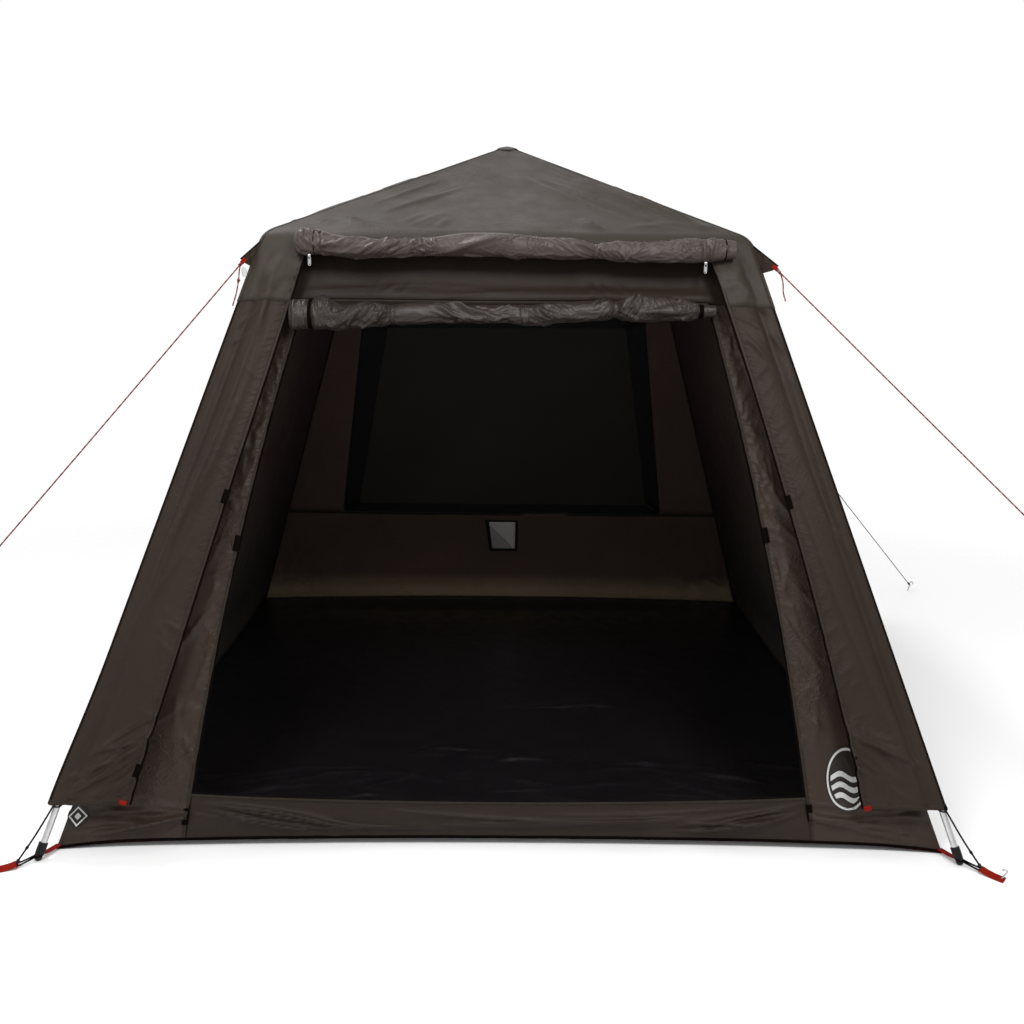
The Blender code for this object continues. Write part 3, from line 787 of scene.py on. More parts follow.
def set_out(side, s, across, z):
    """Points of a wall, from the distance along it and the distance from the middle."""
    out = OUTWARD[side]
    s, across, z = np.broadcast_arrays(s, across, z)
    return np.stack([out[0] * across - out[1] * s, out[1] * across + out[0] * s, z], -1)


def lean(skin, side):
    """How far a wall leans in for each metre of height."""
    foot = skin.foot_y if side in ("front", "rear") else skin.foot_x
    return (foot - skin.eave) / skin.eave_z


def bowed(top, foot, top_z, foot_z, bow, z):
    """Half width of an opening whose edge bows outward between its top and its foot."""
    t = (top_z - z) / (top_z - foot_z)
    return lerp(top, foot, t) + 4 * bow * t * (1 - t)


def fly_door(sign, z):
    return bowed(FLY_DOOR_TOP, FLY_DOOR_FOOT[sign], FLY.eave_z, HEM_Z, FLY_DOOR_BOW[sign], z)


def inner_door(sign, z):
    return bowed(DOOR_TOP, DOOR_FOOT[sign], DOOR_TOP_Z, 0.0, DOOR_BOW, z)


def window_edge(z):
    return lerp(WINDOW_FOOT, WINDOW_TOP, (z - WINDOW_FOOT_Z) / (WINDOW_TOP_Z - WINDOW_FOOT_Z))


def rounded(q, across, reach):
    """Where arc distance q along a wall with rounded corners lies, and how far the corner turns there."""
    radius = np.minimum(CORNER_ROUND, reach * 0.5)
    flat = reach - radius
    turn = np.clip((np.abs(q) - flat) / radius, 0, math.pi / 4) * np.sign(q)
    s = np.clip(q, -flat, flat) + radius * np.sin(turn)
    return s, across - radius + radius * np.cos(turn), turn


def arc_end(reach):
    """Arc distance from the middle of a wall to the middle of its rounded corner."""
    radius = np.minimum(CORNER_ROUND, reach * 0.5)
    return reach - radius + radius * math.pi / 4


def fly_out(side, turn):
    """Direction away from the flysheet's wall, which turns at the rounded corners."""
    level = 1 / math.hypot(1, lean(FLY, side))
    flat = set_out(side, np.sin(turn) * level, np.cos(turn) * level, 0.0)
    flat[..., 2] = lean(FLY, side) * level
    return flat


# Relief of the flysheet

def hem_z(share):
    """Height of the hem of a whole wall, which lifts between its corners."""
    return HEM_Z + HEM_RISE * (1 - share ** 2)


def front_hem_z(sign, share):
    """Height of the hem of a front panel, which lifts from the corner, share 0, to the door, share 1."""
    return HEM_Z + DOOR_HEM_RISE[sign] * share ** 1.5


def wall_relief(side, q, z, reach):
    """How far a whole wall of the flysheet lies outside its flat place."""
    seed = SIDES.index(side) * 17
    end = arc_end(reach)
    share = q / end
    height = np.clip((z - HEM_Z) / (FLY.eave_z - HEM_Z), 0, 1)
    belly = -0.012 * (1 - share ** 2) * np.sin(math.pi * height) ** 0.8
    groups = [Pleats(0.80, 0.42, 0.20, 0.16, 9, 2.35, 0.30, 0.50, 0.022, 0.0055),
              Pleats(-0.80, 0.42, 0.20, 0.16, 9, 0.80, 0.30, 0.50, 0.022, 0.0055),
              Pleats(0.45, 1.25, 0.22, 0.16, 7, 0.75, 0.25, 0.40, 0.018, 0.0045),
              Pleats(-0.45, 1.25, 0.22, 0.16, 7, 2.40, 0.25, 0.40, 0.018, 0.0045),
              Pleats(0.0, 0.24, 1.00, 0.05, 16, 1.45, 0.30, 0.16, 0.012, 0.0035)]
    soft = 0.0035 * noise(q * 2.3, z * 1.6, seed + 9)
    seam = 0.0012 * noise(q * 55.0, z * 16.0, seed + 12) * np.exp(-np.abs(z - SEAM_Z) / 0.025)
    held = smooth(0.0, 0.07, end - np.abs(q)) * smooth(1.615, 1.50, z)
    return (belly + pleated(q, z, groups, seed) + soft + seam) * held


def corner_relief(sign, q, z, reach):
    """How far a front corner panel of the flysheet lies outside its flat place."""
    seed = 40 + 20 * sign
    edge = np.maximum(np.abs(q) - fly_door(sign, z), 0.0)
    inward = arc_end(reach) - np.abs(q)
    zip_groups = [Pleats(0.018, 0.80, 0.010, 0.66, 70, 0.25, 0.40, 0.036, 0.0036, 0.0017),
                  Pleats(0.040, 0.75, 0.025, 0.60, 22, 0.70, 0.40, 0.070, 0.0070, 0.0030)]
    groups = [Pleats(0.070, 0.85, 0.050, 0.50, 6, 1.53, 0.06, 0.90, 0.020, 0.0095),
              Pleats(0.150, 0.24, 0.080, 0.09, 12, 0.60, 0.40, 0.24, 0.009, 0.0140),
              Pleats(0.060, 0.62, 0.040, 0.40, 5, 1.30, 0.20, 0.30, 0.014, 0.0030),
              Pleats(0.060, 1.38, 0.050, 0.06, 7, 1.10, 0.60, 0.12, 0.008, 0.0060),
              Pleats(0.090, 1.53, 0.050, 0.04, 7, 2.60, 0.40, 0.15, 0.009, 0.0070),
              Pleats(0.060, 1.47, 0.050, 0.04, 5, 0.50, 0.40, 0.12, 0.008, 0.0055)]
    wave = 0.0040 * noise(z * 2.6, 0.3, seed + 1) * np.exp(-edge / 0.07)
    broad = 0.0110 * noise(inward * 6.5 + 0.30 * z, z * 0.7, seed + 2)
    ridge = 0.010 * np.exp(-((inward - 0.085) / 0.030) ** 2)
    valley = 0.009 * np.exp(-((inward - 0.044) / 0.013) ** 2)
    long_fold = (ridge - valley) * (0.75 + 0.35 * noise(z * 2.0, 0.5, seed + 3))
    seam = 0.0016 * noise(q * 52.0, z * 18.0, seed + 6) * np.exp(-np.abs(z - SEAM_Z) / 0.022)
    held = smooth(0.0, 0.05, inward) * smooth(1.618, 1.54, z)
    folded = pleated(edge, z, zip_groups, seed + 7) + pleated(inward, z, groups, seed + 8)
    return (wave + broad + long_fold + seam + folded) * held


def fly_points(side, q, z, lift=0.0):
    """Points of the flysheet's wall at arc distance q and height z, and the directions away from it."""
    q, z = np.broadcast_arrays(np.asarray(q, float), np.asarray(z, float))
    across, reach = spans(FLY, side, z)
    s, across, turn = rounded(q, across, reach)
    if side == "front":
        relief = np.where(q < 0, corner_relief(-1, q, z, reach), corner_relief(1, q, z, reach))
    else:
        relief = wall_relief(side, q, z, reach)
    out = fly_out(side, turn)
    points = set_out(side, s, across, z) + out * (relief + lift)[..., None]
    corner = smooth(-0.97, -1.19, points[..., 0]) * smooth(-0.50, -1.10, points[..., 1])
    points[..., 0] -= HEM_FLARE * smooth(0.55, HEM_Z, z) * corner
    return points, out


# Flysheet

def roof_height(half):
    near = lerp(PEAK_Z, PEAK_FLAT_Z, half / PEAK_FLAT)
    far = lerp(PEAK_FLAT_Z, FLY.eave_z, (half - PEAK_FLAT) / (FLY.eave - PEAK_FLAT))
    return np.where(half < PEAK_FLAT, near, far)


def roof_relief(side, s, half):
    """Sag and folds of one gore, which vanish along the poles and the eave."""
    seed = 90 + SIDES.index(side) * 13
    share = s / half
    sag = -0.010 * (1 - share ** 2) * np.sin(math.pi * np.clip(half / FLY.eave, 0, 1))
    inward = half - np.abs(s)
    groups = [Pleats(0.30, 0.40, 0.10, 0.06, 7, 0.80, 0.05, 0.46, 0.012, 0.0090),
              Pleats(0.42, 0.50, 0.08, 0.04, 6, 0.82, 0.04, 0.30, 0.010, 0.0085),
              Pleats(-0.28, 0.44, 0.08, 0.08, 5, 2.36, 0.08, 0.40, 0.016, 0.0045),
              Pleats(-0.23, 0.62, 0.06, 0.03, 5, 2.25, 0.15, 0.13, 0.012, 0.0085),
              Pleats(0.22, 0.63, 0.04, 0.02, 4, 0.95, 0.15, 0.10, 0.010, 0.0075),
              Pleats(-0.50, 0.64, 0.10, 0.03, 9, 0.10, 0.35, 0.16, 0.009, 0.0060),
              Pleats(0.50, 0.64, 0.10, 0.03, 6, 3.00, 0.35, 0.14, 0.010, 0.0055)]
    soft = 0.0035 * noise(s * 3.2, half * 4.0, seed + 1)
    held = smooth(0.0, 0.035, inward) * smooth(0.705, 0.64, half) * smooth(0.03, 0.12, half)
    return sag + (pleated(s, half, groups, seed) + soft) * held


# The roof's grid: columns beside and over the door and on the other sides, and its rows
ROOF_FLANK, ROOF_DOOR, ROOF_SIDE = 24, 100, 64
BAND_ROWS, TURN_ROWS, GORE_ROWS = 14, 9, 76
ROOF_FRONT = 2 * ROOF_FLANK + ROOF_DOOR
HIP_COLUMNS = {
    "front_left": 0,
    "front_right": ROOF_FRONT,
    "rear_right": ROOF_FRONT + ROOF_SIDE,
    "rear_left": ROOF_FRONT + 2 * ROOF_SIDE,
}


def side_arcs(side, end, edges):
    """Arc distances of the columns of one side, row by row. The front's follow the door's edges."""
    if side != "front":
        return lerp(-end, end, np.arange(ROOF_SIDE) / ROOF_SIDE)
    flank, door = np.arange(ROOF_FLANK) / ROOF_FLANK, np.arange(ROOF_DOOR) / ROOF_DOOR
    left, right = edges
    return np.hstack([lerp(-end, -left, flank), lerp(-left, right, door), lerp(right, end, flank)])


def roof_side(side):
    """Roof points of one side, row by row: the band below the eave, the turn over it, and the gore."""
    top, foot_z = FLY.eave - EAVE_ROUND, FLY.eave_z - EAVE_ROUND
    z = np.linspace(SEAM_Z - 0.006, foot_z, BAND_ROWS + 1)[:-1, None]
    edges = [fly_door(sign, z) for sign in (-1, 1)]
    band, _ = fly_points(side, side_arcs(side, arc_end(spans(FLY, side, z)[1]), edges), z, ROOF_LIFT)
    foot_end = arc_end(spans(FLY, side, foot_z)[1])
    door_shares = [fly_door(sign, foot_z) / foot_end for sign in (-1, 1)]

    def row(end):
        end = np.reshape(end, (-1, 1))
        return side_arcs(side, end, [share * end for share in door_shares])
    low, _ = fly_points(side, row(foot_end), foot_z, ROOF_LIFT)
    s, across, _ = rounded(row(arc_end(FLY.eave)), FLY.eave, FLY.eave)
    edge = set_out(side, s, across, FLY.eave_z)
    s, across, _ = rounded(row(arc_end(top)), top, top)
    high = set_out(side, s, across, roof_height(top))
    t = np.linspace(0, 1, TURN_ROWS)[:, None, None]
    turn = low * (1 - t) ** 2 + edge * (2 * t * (1 - t)) + high * t * t
    half = np.linspace(top, 0.003, GORE_ROWS + 1)[1:, None]
    s, across, _ = rounded(row(arc_end(half)), half, half)
    gore = set_out(side, s, across, roof_height(half) + roof_relief(side, s, half))
    return np.concatenate([band, turn, gore])


def build_roof():
    """Roof of four gores in one piece, which turns over the eave and ends at the seam below it."""
    points = np.concatenate([roof_side(side) for side in SIDES], axis=1)
    rows, count = points.shape[:2]
    faces = grid_faces(rows, count, wrap=True).reshape(rows - 1, count, 4)
    keep = np.ones((rows - 1, count), bool)
    keep[:BAND_ROWS - 3, ROOF_FLANK:ROOF_FLANK + ROOF_DOOR] = False
    faces = faces[keep]
    used = np.unique(faces)
    renumber = np.zeros(rows * count, int)
    renumber[used] = np.arange(len(used))
    top_ring = [int(renumber[(rows - 1) * count + k]) for k in range(count)]
    flat = points.reshape(-1, 3)
    uv = np.where((np.abs(flat[:, :1]) > np.abs(flat[:, 1:2])), flat[:, [1, 2]], flat[:, [0, 2]])
    add_panel("flysheet_roof", ["fly_roof_" + side for side in SIDES], flat[used], ROOF_CLOTH,
              uv[used], faces=renumber[faces], caps=[top_ring])
    return {corner: points[:, column] for corner, column in HIP_COLUMNS.items()}


def build_fly_wall(side):
    u, v = shares(62, 86, -1)
    z = lerp(hem_z(u), SEAM_Z, v)
    end = arc_end(spans(FLY, side, z)[1])
    points, _ = fly_points(side, u * end, z)
    add_panel("flysheet_%s_wall" % side, ["fly_%s_wall" % side], points, WALL_CLOTH,
              np.stack([u * end, z * SLOPE], -1))


def beside_door(sign, edge, end, u):
    """Distances along the front, for shares u of a panel between the door's edge and the end."""
    return lerp(-end, -edge, u) if sign < 0 else lerp(edge, end, u)


def build_fly_corner(sign):
    u, v = shares(290, 42)
    z = lerp(front_hem_z(sign, u if sign < 0 else 1 - u), SEAM_Z, v)
    end = arc_end(spans(FLY, "front", z)[1])
    edge = fly_door(sign, z)
    q = beside_door(sign, edge, end, u)
    points, _ = fly_points("front", q, z)
    add_panel("flysheet_front_" + HANDS[sign], ["fly_front_" + HANDS[sign]], points, PANEL_CLOTH,
              np.stack([np.abs(q) - edge, z * SLOPE], -1))


# Inner tent

def foot_lift(side, s):
    """How far the foot of the inner tent's front or rear hangs clear of the ground between its corners."""
    share = np.clip(np.abs(s) / INNER.foot_x, 0, 1)
    if side in ("left", "right"):
        return 0.0 * share
    return FRONT_LIFT * (1 - share ** 10) if side == "front" else REAR_LIFT * (1 - share ** 2)


def inner_points(side, s, z, relief=0.0):
    """Points of the inner tent's wall, and the directions away from it."""
    s, z, relief = np.broadcast_arrays(np.asarray(s, float), np.asarray(z, float), np.asarray(relief, float))
    across, reach = spans(INNER, side, z)
    lowered = np.clip(1 - z / SKIRT_Z, 0, 1)
    across = across - FOOT_CURVE * (1 - (s / reach) ** 2) * lowered
    level = 1 / math.hypot(1, lean(INNER, side))
    out = set_out(side, 0 * s, 0 * s + level, 0.0)
    out[..., 2] = lean(INNER, side) * level
    return set_out(side, s, across, z + foot_lift(side, s) * lowered) + out * relief[..., None], out


def flange_relief(sign, s, z):
    """Folds of the inner tent's front beside the door."""
    seed = 150 + 30 * sign
    edge = np.abs(s) - inner_door(sign, z)
    inward = spans(INNER, "front", z)[1] - np.abs(s)
    groups = [Pleats(0.16, 0.80, 0.12, 0.60, 34, 0.90, 0.70, 0.16, 0.008, 0.0080),
              Pleats(0.16, 0.80, 0.12, 0.62, 30, 2.20, 0.50, 0.12, 0.007, 0.0070),
              Pleats(0.14, 0.80, 0.12, 0.65, 60, 1.20, 1.20, 0.06, 0.006, 0.0034),
              Pleats(0.20, 1.05, 0.10, 0.25, 12, 1.35, 0.25, 0.16, 0.009, 0.0055),
              Pleats(0.24, 0.060, 0.03, 0.010, 3, 0.22, 0.06, 0.50, 0.007, 0.0150),
              Pleats(0.14, 0.085, 0.10, 0.05, 12, 0.06, 0.22, 0.34, 0.007, 0.0100)]
    edge_groups = [Pleats(0.012, 0.75, 0.010, 0.70, 60, 0.20, 0.60, 0.034, 0.0045, 0.0026),
                   Pleats(0.030, 1.10, 0.020, 0.26, 40, 0.80, 0.70, 0.055, 0.0055, 0.0045),
                   Pleats(0.035, 0.55, 0.025, 0.30, 26, 2.30, 0.60, 0.070, 0.0060, 0.0040)]
    slack = 0.004 * noise(inward * 7.0, z * 3.0, seed + 1)
    folded = pleated(inward, z, groups, seed + 2) + pleated(edge, z, edge_groups, seed + 3)
    held = smooth(0.0, 0.03, inward) * smooth(0.0, 0.04, z) * smooth(-0.004, 0.008, edge)
    return (slack + folded) * held


def build_flange(sign):
    u, v = shares(250, 38)
    z = lerp(WALL_FOOT_Z, DOOR_TOP_Z, v) + 0 * u
    edge = inner_door(sign, z)
    s = beside_door(sign, edge, spans(INNER, "front", z)[1] - 0.001, u)
    points, _ = inner_points("front", s, z, flange_relief(sign, s, z))
    add_panel("inner_tent_front_" + HANDS[sign], ["inner_front_" + HANDS[sign]], points,
              FLANGE_CLOTH, np.stack([np.abs(s) - edge, z * SLOPE], -1))


def sill_top(share):
    return SKIRT_Z + 0.007 - SILL_DIP * (1 - share ** 2)


def sill_relief(s, v):
    lens = 0.007 * np.exp(-((v - 0.62 + 0.25 * (s / 0.8) ** 2) / 0.20) ** 2)
    height = v * SKIRT_Z
    groups = [Pleats(-0.62, 0.062, 0.05, 0.020, 6, -0.17, 0.05, 0.44, 0.005, 0.0200),
              Pleats(0.64, 0.062, 0.05, 0.020, 5, 0.15, 0.05, 0.38, 0.005, 0.0180),
              Pleats(-0.15, 0.050, 0.30, 0.025, 7, -0.03, 0.04, 0.60, 0.006, 0.0095),
              Pleats(0.30, 0.070, 0.30, 0.020, 6, 0.03, 0.04, 0.50, 0.006, 0.0085),
              Pleats(0.0, 0.100, 0.80, 0.020, 40, 1.30, 0.40, 0.020, 0.0030, 0.0014)]
    held = smooth(0.0, 0.15, v) * smooth(0.0, 0.03, 0.86 - np.abs(s))
    return (lens + pleated(s, height, groups, 201)) * held


def build_sill():
    u, v = shares(26, 320, -1)
    z = lerp(WALL_FOOT_Z, sill_top(u), v)
    low, high = -inner_door(-1, z) + 0.0005, inner_door(1, z) - 0.0005
    s = lerp(low, high, (u + 1) / 2)
    points, _ = inner_points("front", s, z, sill_relief(s, v + 0 * u))
    add_panel("inner_tent_sill", ["inner_front_sill"], points, INNER_CLOTH,
              np.stack([s, z], -1))


def header_relief(s, z):
    """The top of the inner door wall hangs slack and bulges just above the rolled door."""
    v = (z - DOOR_TOP_Z) / (INNER.eave_z - DOOR_TOP_Z)
    bulge = 0.020 * np.exp(-((v - 0.10) / 0.16) ** 2) * (0.55 + 0.45 * noise(s * 2.0, 0.4, 221))
    groups = [Pleats(0.0, 1.495, 0.50, 0.012, 6, 0.02, 0.06, 0.50, 0.007, 0.0022),
              Pleats(0.30, 1.490, 0.05, 0.015, 9, 2.10, 0.60, 0.07, 0.004, 0.0040),
              Pleats(-0.33, 1.490, 0.05, 0.015, 6, 0.90, 0.50, 0.06, 0.005, 0.0035)]
    return (bulge + pleated(s, z, groups, 222)) * smooth(0.66, 0.56, np.abs(s)) * smooth(1.0, 0.7, v)


def build_header():
    """Cloth above the door, and the part of the door that hangs from it down behind the roll."""
    u, v = shares(30, 220, -1)
    z = lerp(DOOR_TOP_Z, INNER.eave_z - 0.003, v) + 0 * u
    s = u * (spans(INNER, "front", z)[1] - 0.001)
    upper, _ = inner_points("front", s, z, header_relief(s, z))
    v = np.linspace(0, 1, 9)[:, None]
    low_z = lerp(LEADER_Z, DOOR_TOP_Z, v) + 0 * u
    low_s = u * (inner_door(-1, low_z) - 0.002)
    hang = lerp(-0.0010, header_relief(low_s, DOOR_TOP_Z), smooth(0.55, 1.0, v))
    lower, _ = inner_points("front", low_s, low_z, hang)
    points, faces, uv = merged([(upper, np.stack([s, z], -1)), (lower, np.stack([low_s, low_z], -1))])
    add_panel("inner_tent_header", ["inner_front_header"], points, INNER_CLOTH, uv,
              faces=faces)


def cabin_relief(side, s, z, low, high):
    seed = 240 + 11 * SIDES.index(side)
    reach = spans(INNER, side, z)[1]
    belly = 0.010 * (1 - (s / reach) ** 2) * np.sin(math.pi * np.clip(z / 1.6, 0, 1))
    fans = sum(0.008 * rays(s, z, sign * 1.15, 0.0, 6.0, 0.45, seed + sign) for sign in (-1, 1))
    soft = 0.004 * noise(s * 2.4, z * 2.0, seed + 3) + 0.0020 * creases(s, z, 1.35, 0.05, 0.35, seed + 4)
    if side == "rear":
        groups = [Pleats(1.03, 0.085, 0.10, 0.030, 8, 2.50, 0.30, 0.15, 0.015, 0.0130),
                  Pleats(-1.03, 0.085, 0.10, 0.030, 8, 0.64, 0.30, 0.15, 0.015, 0.0130),
                  Pleats(0.0, 0.070, 0.80, 0.020, 16, 0.05, 0.25, 0.16, 0.009, 0.0030)]
        soft = soft + pleated(s, z, groups, seed + 5)
    held = smooth(0.0, 0.05, reach - np.abs(s)) * smooth(0.0, 0.05, z) * smooth(1.6, 1.5, z)
    edges = smooth(low, low + 0.03, z) * smooth(high, high - 0.03, z)
    return -belly * held + (fans + soft) * held * edges


def build_cabin():
    """Panels of the inner tent that show from inside."""
    top, foot, sill, head = INNER.eave_z - 0.003, WALL_FOOT_Z, WINDOW_FOOT_Z, WINDOW_TOP_Z

    def end(z):
        return spans(INNER, "rear", z)[1] - 0.0002

    def far_end(z):
        return -end(z)

    def window_far(z):
        return -window_edge(z)
    # Inner faces take the lightened lining copies of the cloth: painted light.
    panels = [
        ("inner_tent_left_wall", "left", far_end, end, foot, top, 50, 60, LIT_SIDE_CLOTH),
        ("inner_tent_right_wall", "right", far_end, end, foot, top, 50, 60, LIT_SIDE_CLOTH),
        ("inner_tent_rear_lower", "rear", far_end, end, foot, sill, 36, 220, LIT_CABIN_CLOTH),
        ("inner_tent_rear_header", "rear", far_end, end, head, top, 12, 60, LIT_CABIN_CLOTH),
        ("inner_tent_rear_left", "rear", window_edge, end, sill, head, 40, 16, LIT_CABIN_CLOTH),
        ("inner_tent_rear_right", "rear", far_end, window_far, sill, head, 40, 16, LIT_CABIN_CLOTH),
        ("rear_window_net", "rear", window_far, window_edge, sill, head, 40, 60, NET),
    ]
    for name, side, left, right, low, high, rows, columns, material in panels:
        u, v = shares(rows, columns)
        z = lerp(low, high, v) + 0 * u
        s = lerp(left(z), right(z), u)
        points, _ = inner_points(side, s, z, cabin_relief(side, s, z, low, high))
        uv = np.stack([s, z * SLOPE], -1)
        if material is NET:
            add_panel(name, ["rear_window"], points, NET, uv)
        else:
            node = name.replace("tent_", "")
            add_panel(name, [node], points, INNER_CLOTH, uv, lining=material)


def rear_patch(name, corners, lift, material, count=16):
    """Cloth sewn to the inside of the rear wall. corners are x and z, round from the bottom left."""
    u, v = shares(count, count)
    low_left, low_right, high_right, high_left = corners
    x, z = (lerp(lerp(low_left[k], low_right[k], u), lerp(high_left[k], high_right[k], u), v)
            for k in (0, 1))
    relief = cabin_relief("rear", -x, z, -1.0, 3.0) - lift
    points, _ = inner_points("rear", -x, z, relief)
    patch = add_mesh(name, points, grid_faces(count, count)[:, ::-1], material, np.stack([x, z], -1))
    thicken(patch, 0.0006)


def build_rear_trim():
    """Black borders inside the rear window, the seam below it, and the label."""
    borders = {
        "left": ((0.11, 0.95), 0.80, [(-0.759, 0.496), (-0.684, 0.539), (-0.509, 1.372), (-0.615, 1.414)]),
        "right": ((0.09, 0.95), 0.84, [(0.690, 0.554), (0.765, 0.496), (0.615, 1.414), (0.529, 1.394)]),
        "foot": ((1.54, 0.05), 0.93, [(-0.759, 0.494), (0.765, 0.494), (0.690, 0.542), (-0.684, 0.539)]),
        "top": ((1.24, 0.045), 0.87, [(-0.509, 1.372), (0.529, 1.380), (0.615, 1.416), (-0.615, 1.416)]),
    }
    for part, (flat, share, corners) in borders.items():
        name = "window_border_" + part
        rear_patch(name, corners, 0.0016, BLACK_CLOTH, 20)
    labels = {
        "label_ground": ([(-0.058, 0.288), (0.078, 0.290), (0.079, 0.456), (-0.082, 0.458)], 0.0030,
                         BLACK_CLOTH, Cut((0.16, 0.17), "hung", ["inner_tent_rear_lower"], 1.0)),
        "label_card": ([(-0.046, 0.302), (0.066, 0.302), (0.066, 0.447), (-0.062, 0.447)], 0.0050,
                       CARD, Cut((0.13, 0.145), "hung", ["label_ground"], 0.95)),
        # The fold takes the darker copy of the card: painted shade.
        "label_fold": ([(-0.046, 0.3045), (0.060, 0.304), (0.006, 0.366), (-0.058, 0.430)], 0.0068,
                       SHADED_FOLD_CARD, Cut((0.105, 0.125), "folded", ["label_card"], 0.60)),
    }
    for name, (corners, lift, material, cut) in labels.items():
        rear_patch(name, corners, lift, material)
    z = WINDOW_FOOT_Z - 0.004
    s = np.linspace(-1, 1, 90) * (spans(INNER, "rear", z)[1] - 0.004)
    points, outs = inner_points("rear", s, z + 0 * s, cabin_relief("rear", s, z + 0 * s, -1.0, 3.0) - 0.001)
    sew(strip("rear_wall_seam", points, -outs, 0.010, 0.0010, BINDING), "inner_tent_rear_lower")
    for sx, hand in HANDS.items():
        z = np.linspace(0.01, INNER.eave_z - 0.01, 40)
        half_y, half_x = spans(INNER, "rear", z)
        line = np.stack([sx * (half_x - 0.004), half_y - 0.004, z], -1)
        binding = strip("cabin_corner_rear_" + hand, line, (-sx, -1, -0.5), 0.012, 0.0010, BINDING)
        sew(binding, "inner_tent_rear_lower")


def build_inner_roof():
    """Ceiling of the inner tent, which hangs below the roof poles."""
    rows, columns = 26, 34
    halves = np.linspace(INNER.eave - 0.001, 0.004, rows)[:, None]
    u = np.linspace(-1, 1, columns)[None, :]
    gores = []
    for k, side in enumerate(SIDES):
        s = u * halves
        height = lerp(INNER_PEAK_Z, INNER.eave_z, halves / INNER.eave)
        sag = 0.014 * (1 - u ** 2) * np.sin(math.pi * halves / INNER.eave)
        soft = 0.003 * noise(s * 5.0, halves * 6.0, 300 + k) * smooth(0.0, 0.1, (1 - np.abs(u)) * halves)
        across = halves + 0 * u
        gores.append((set_out(side, s, across, height - sag + soft), np.stack([s, across], -1)))
    points, faces, uv = merged(gores)
    # The ceiling is drawn all in the lightened lining cloth: painted light.
    roof = add_mesh("inner_tent_ceiling", points, faces, LIT_CABIN_CLOTH, uv)
    weld = roof.modifiers.new("weld", "WELD")
    weld.merge_threshold = 0.0001
    thicken(roof, CLOTH)
    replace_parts(roof, *["inner_roof_" + side for side in SIDES])


def floor_height(x, y):
    """Shallow creases of the groundsheet, most of them across the door."""
    groups = [Pleats(0.28, -0.20, 0.10, 0.02, 4, 0.03, 0.05, 0.30, 0.008, 0.0080),
              Pleats(-0.18, -0.59, 0.06, 0.03, 6, 0.10, 0.20, 0.14, 0.008, 0.0085),
              Pleats(0.04, -0.64, 0.10, 0.02, 6, 0.00, 0.10, 0.16, 0.008, 0.0080),
              Pleats(0.45, -0.69, 0.05, 0.03, 5, -0.05, 0.10, 0.14, 0.008, 0.0080),
              Pleats(-0.80, -0.85, 0.18, 0.12, 12, 0.35, 0.15, 0.30, 0.009, 0.0080),
              Pleats(-0.35, -0.85, 0.20, 0.14, 16, 0.25, 0.60, 0.20, 0.008, 0.0070),
              Pleats(0.30, -0.92, 0.30, 0.12, 14, -0.10, 0.40, 0.22, 0.008, 0.0065),
              Pleats(0.75, -0.82, 0.18, 0.14, 14, -0.45, 0.20, 0.26, 0.009, 0.0080),
              Pleats(0.00, 0.30, 0.90, 0.60, 6, 0.00, 0.90, 0.50, 0.040, 0.0024)]
    broad = 0.0016 * (1 + noise(x * 2.4, y * 2.4, 323))
    near_edge = smooth(1.17, 1.10, np.maximum(np.abs(x), np.abs(y)))
    return FLOOR_LOW + (pleated(x, y, groups, 320) + broad) * near_edge


def build_floor():
    columns, front_rows, rear_rows = 140, 170, 40
    u = np.linspace(-1, 1, columns)[None, :]
    v = np.concatenate([np.linspace(-1, -0.15, front_rows), np.linspace(-0.15, 1, rear_rows)[1:]])[:, None]
    reach = INNER.foot_x - 0.001
    x = u * (reach - FOOT_CURVE * (1 - v ** 2))
    y = v * (reach - FOOT_CURVE * (1 - u ** 2))
    z = (floor_height(x, y) + foot_lift("front", x) * smooth(-1.04, -1.165, y)
         + foot_lift("rear", x) * smooth(1.00, 1.165, y))
    floor = add_mesh("floor_sheet", np.stack([x, y, z], -1), grid_faces(len(v), columns), FLOOR_CLOTH,
                     np.stack([x, y], -1))
    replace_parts(floor, "groundsheet")


# Rolled doors

# A rolled door. profile lists x, the height of the middle and the half height; zones are its folds and
# ties the x of its straps. lip is where the cloth's edge lies round the roll and how high it stands.
Roll = namedtuple("Roll", "skin z half_height half_depth left right profile zones ties lip seed")

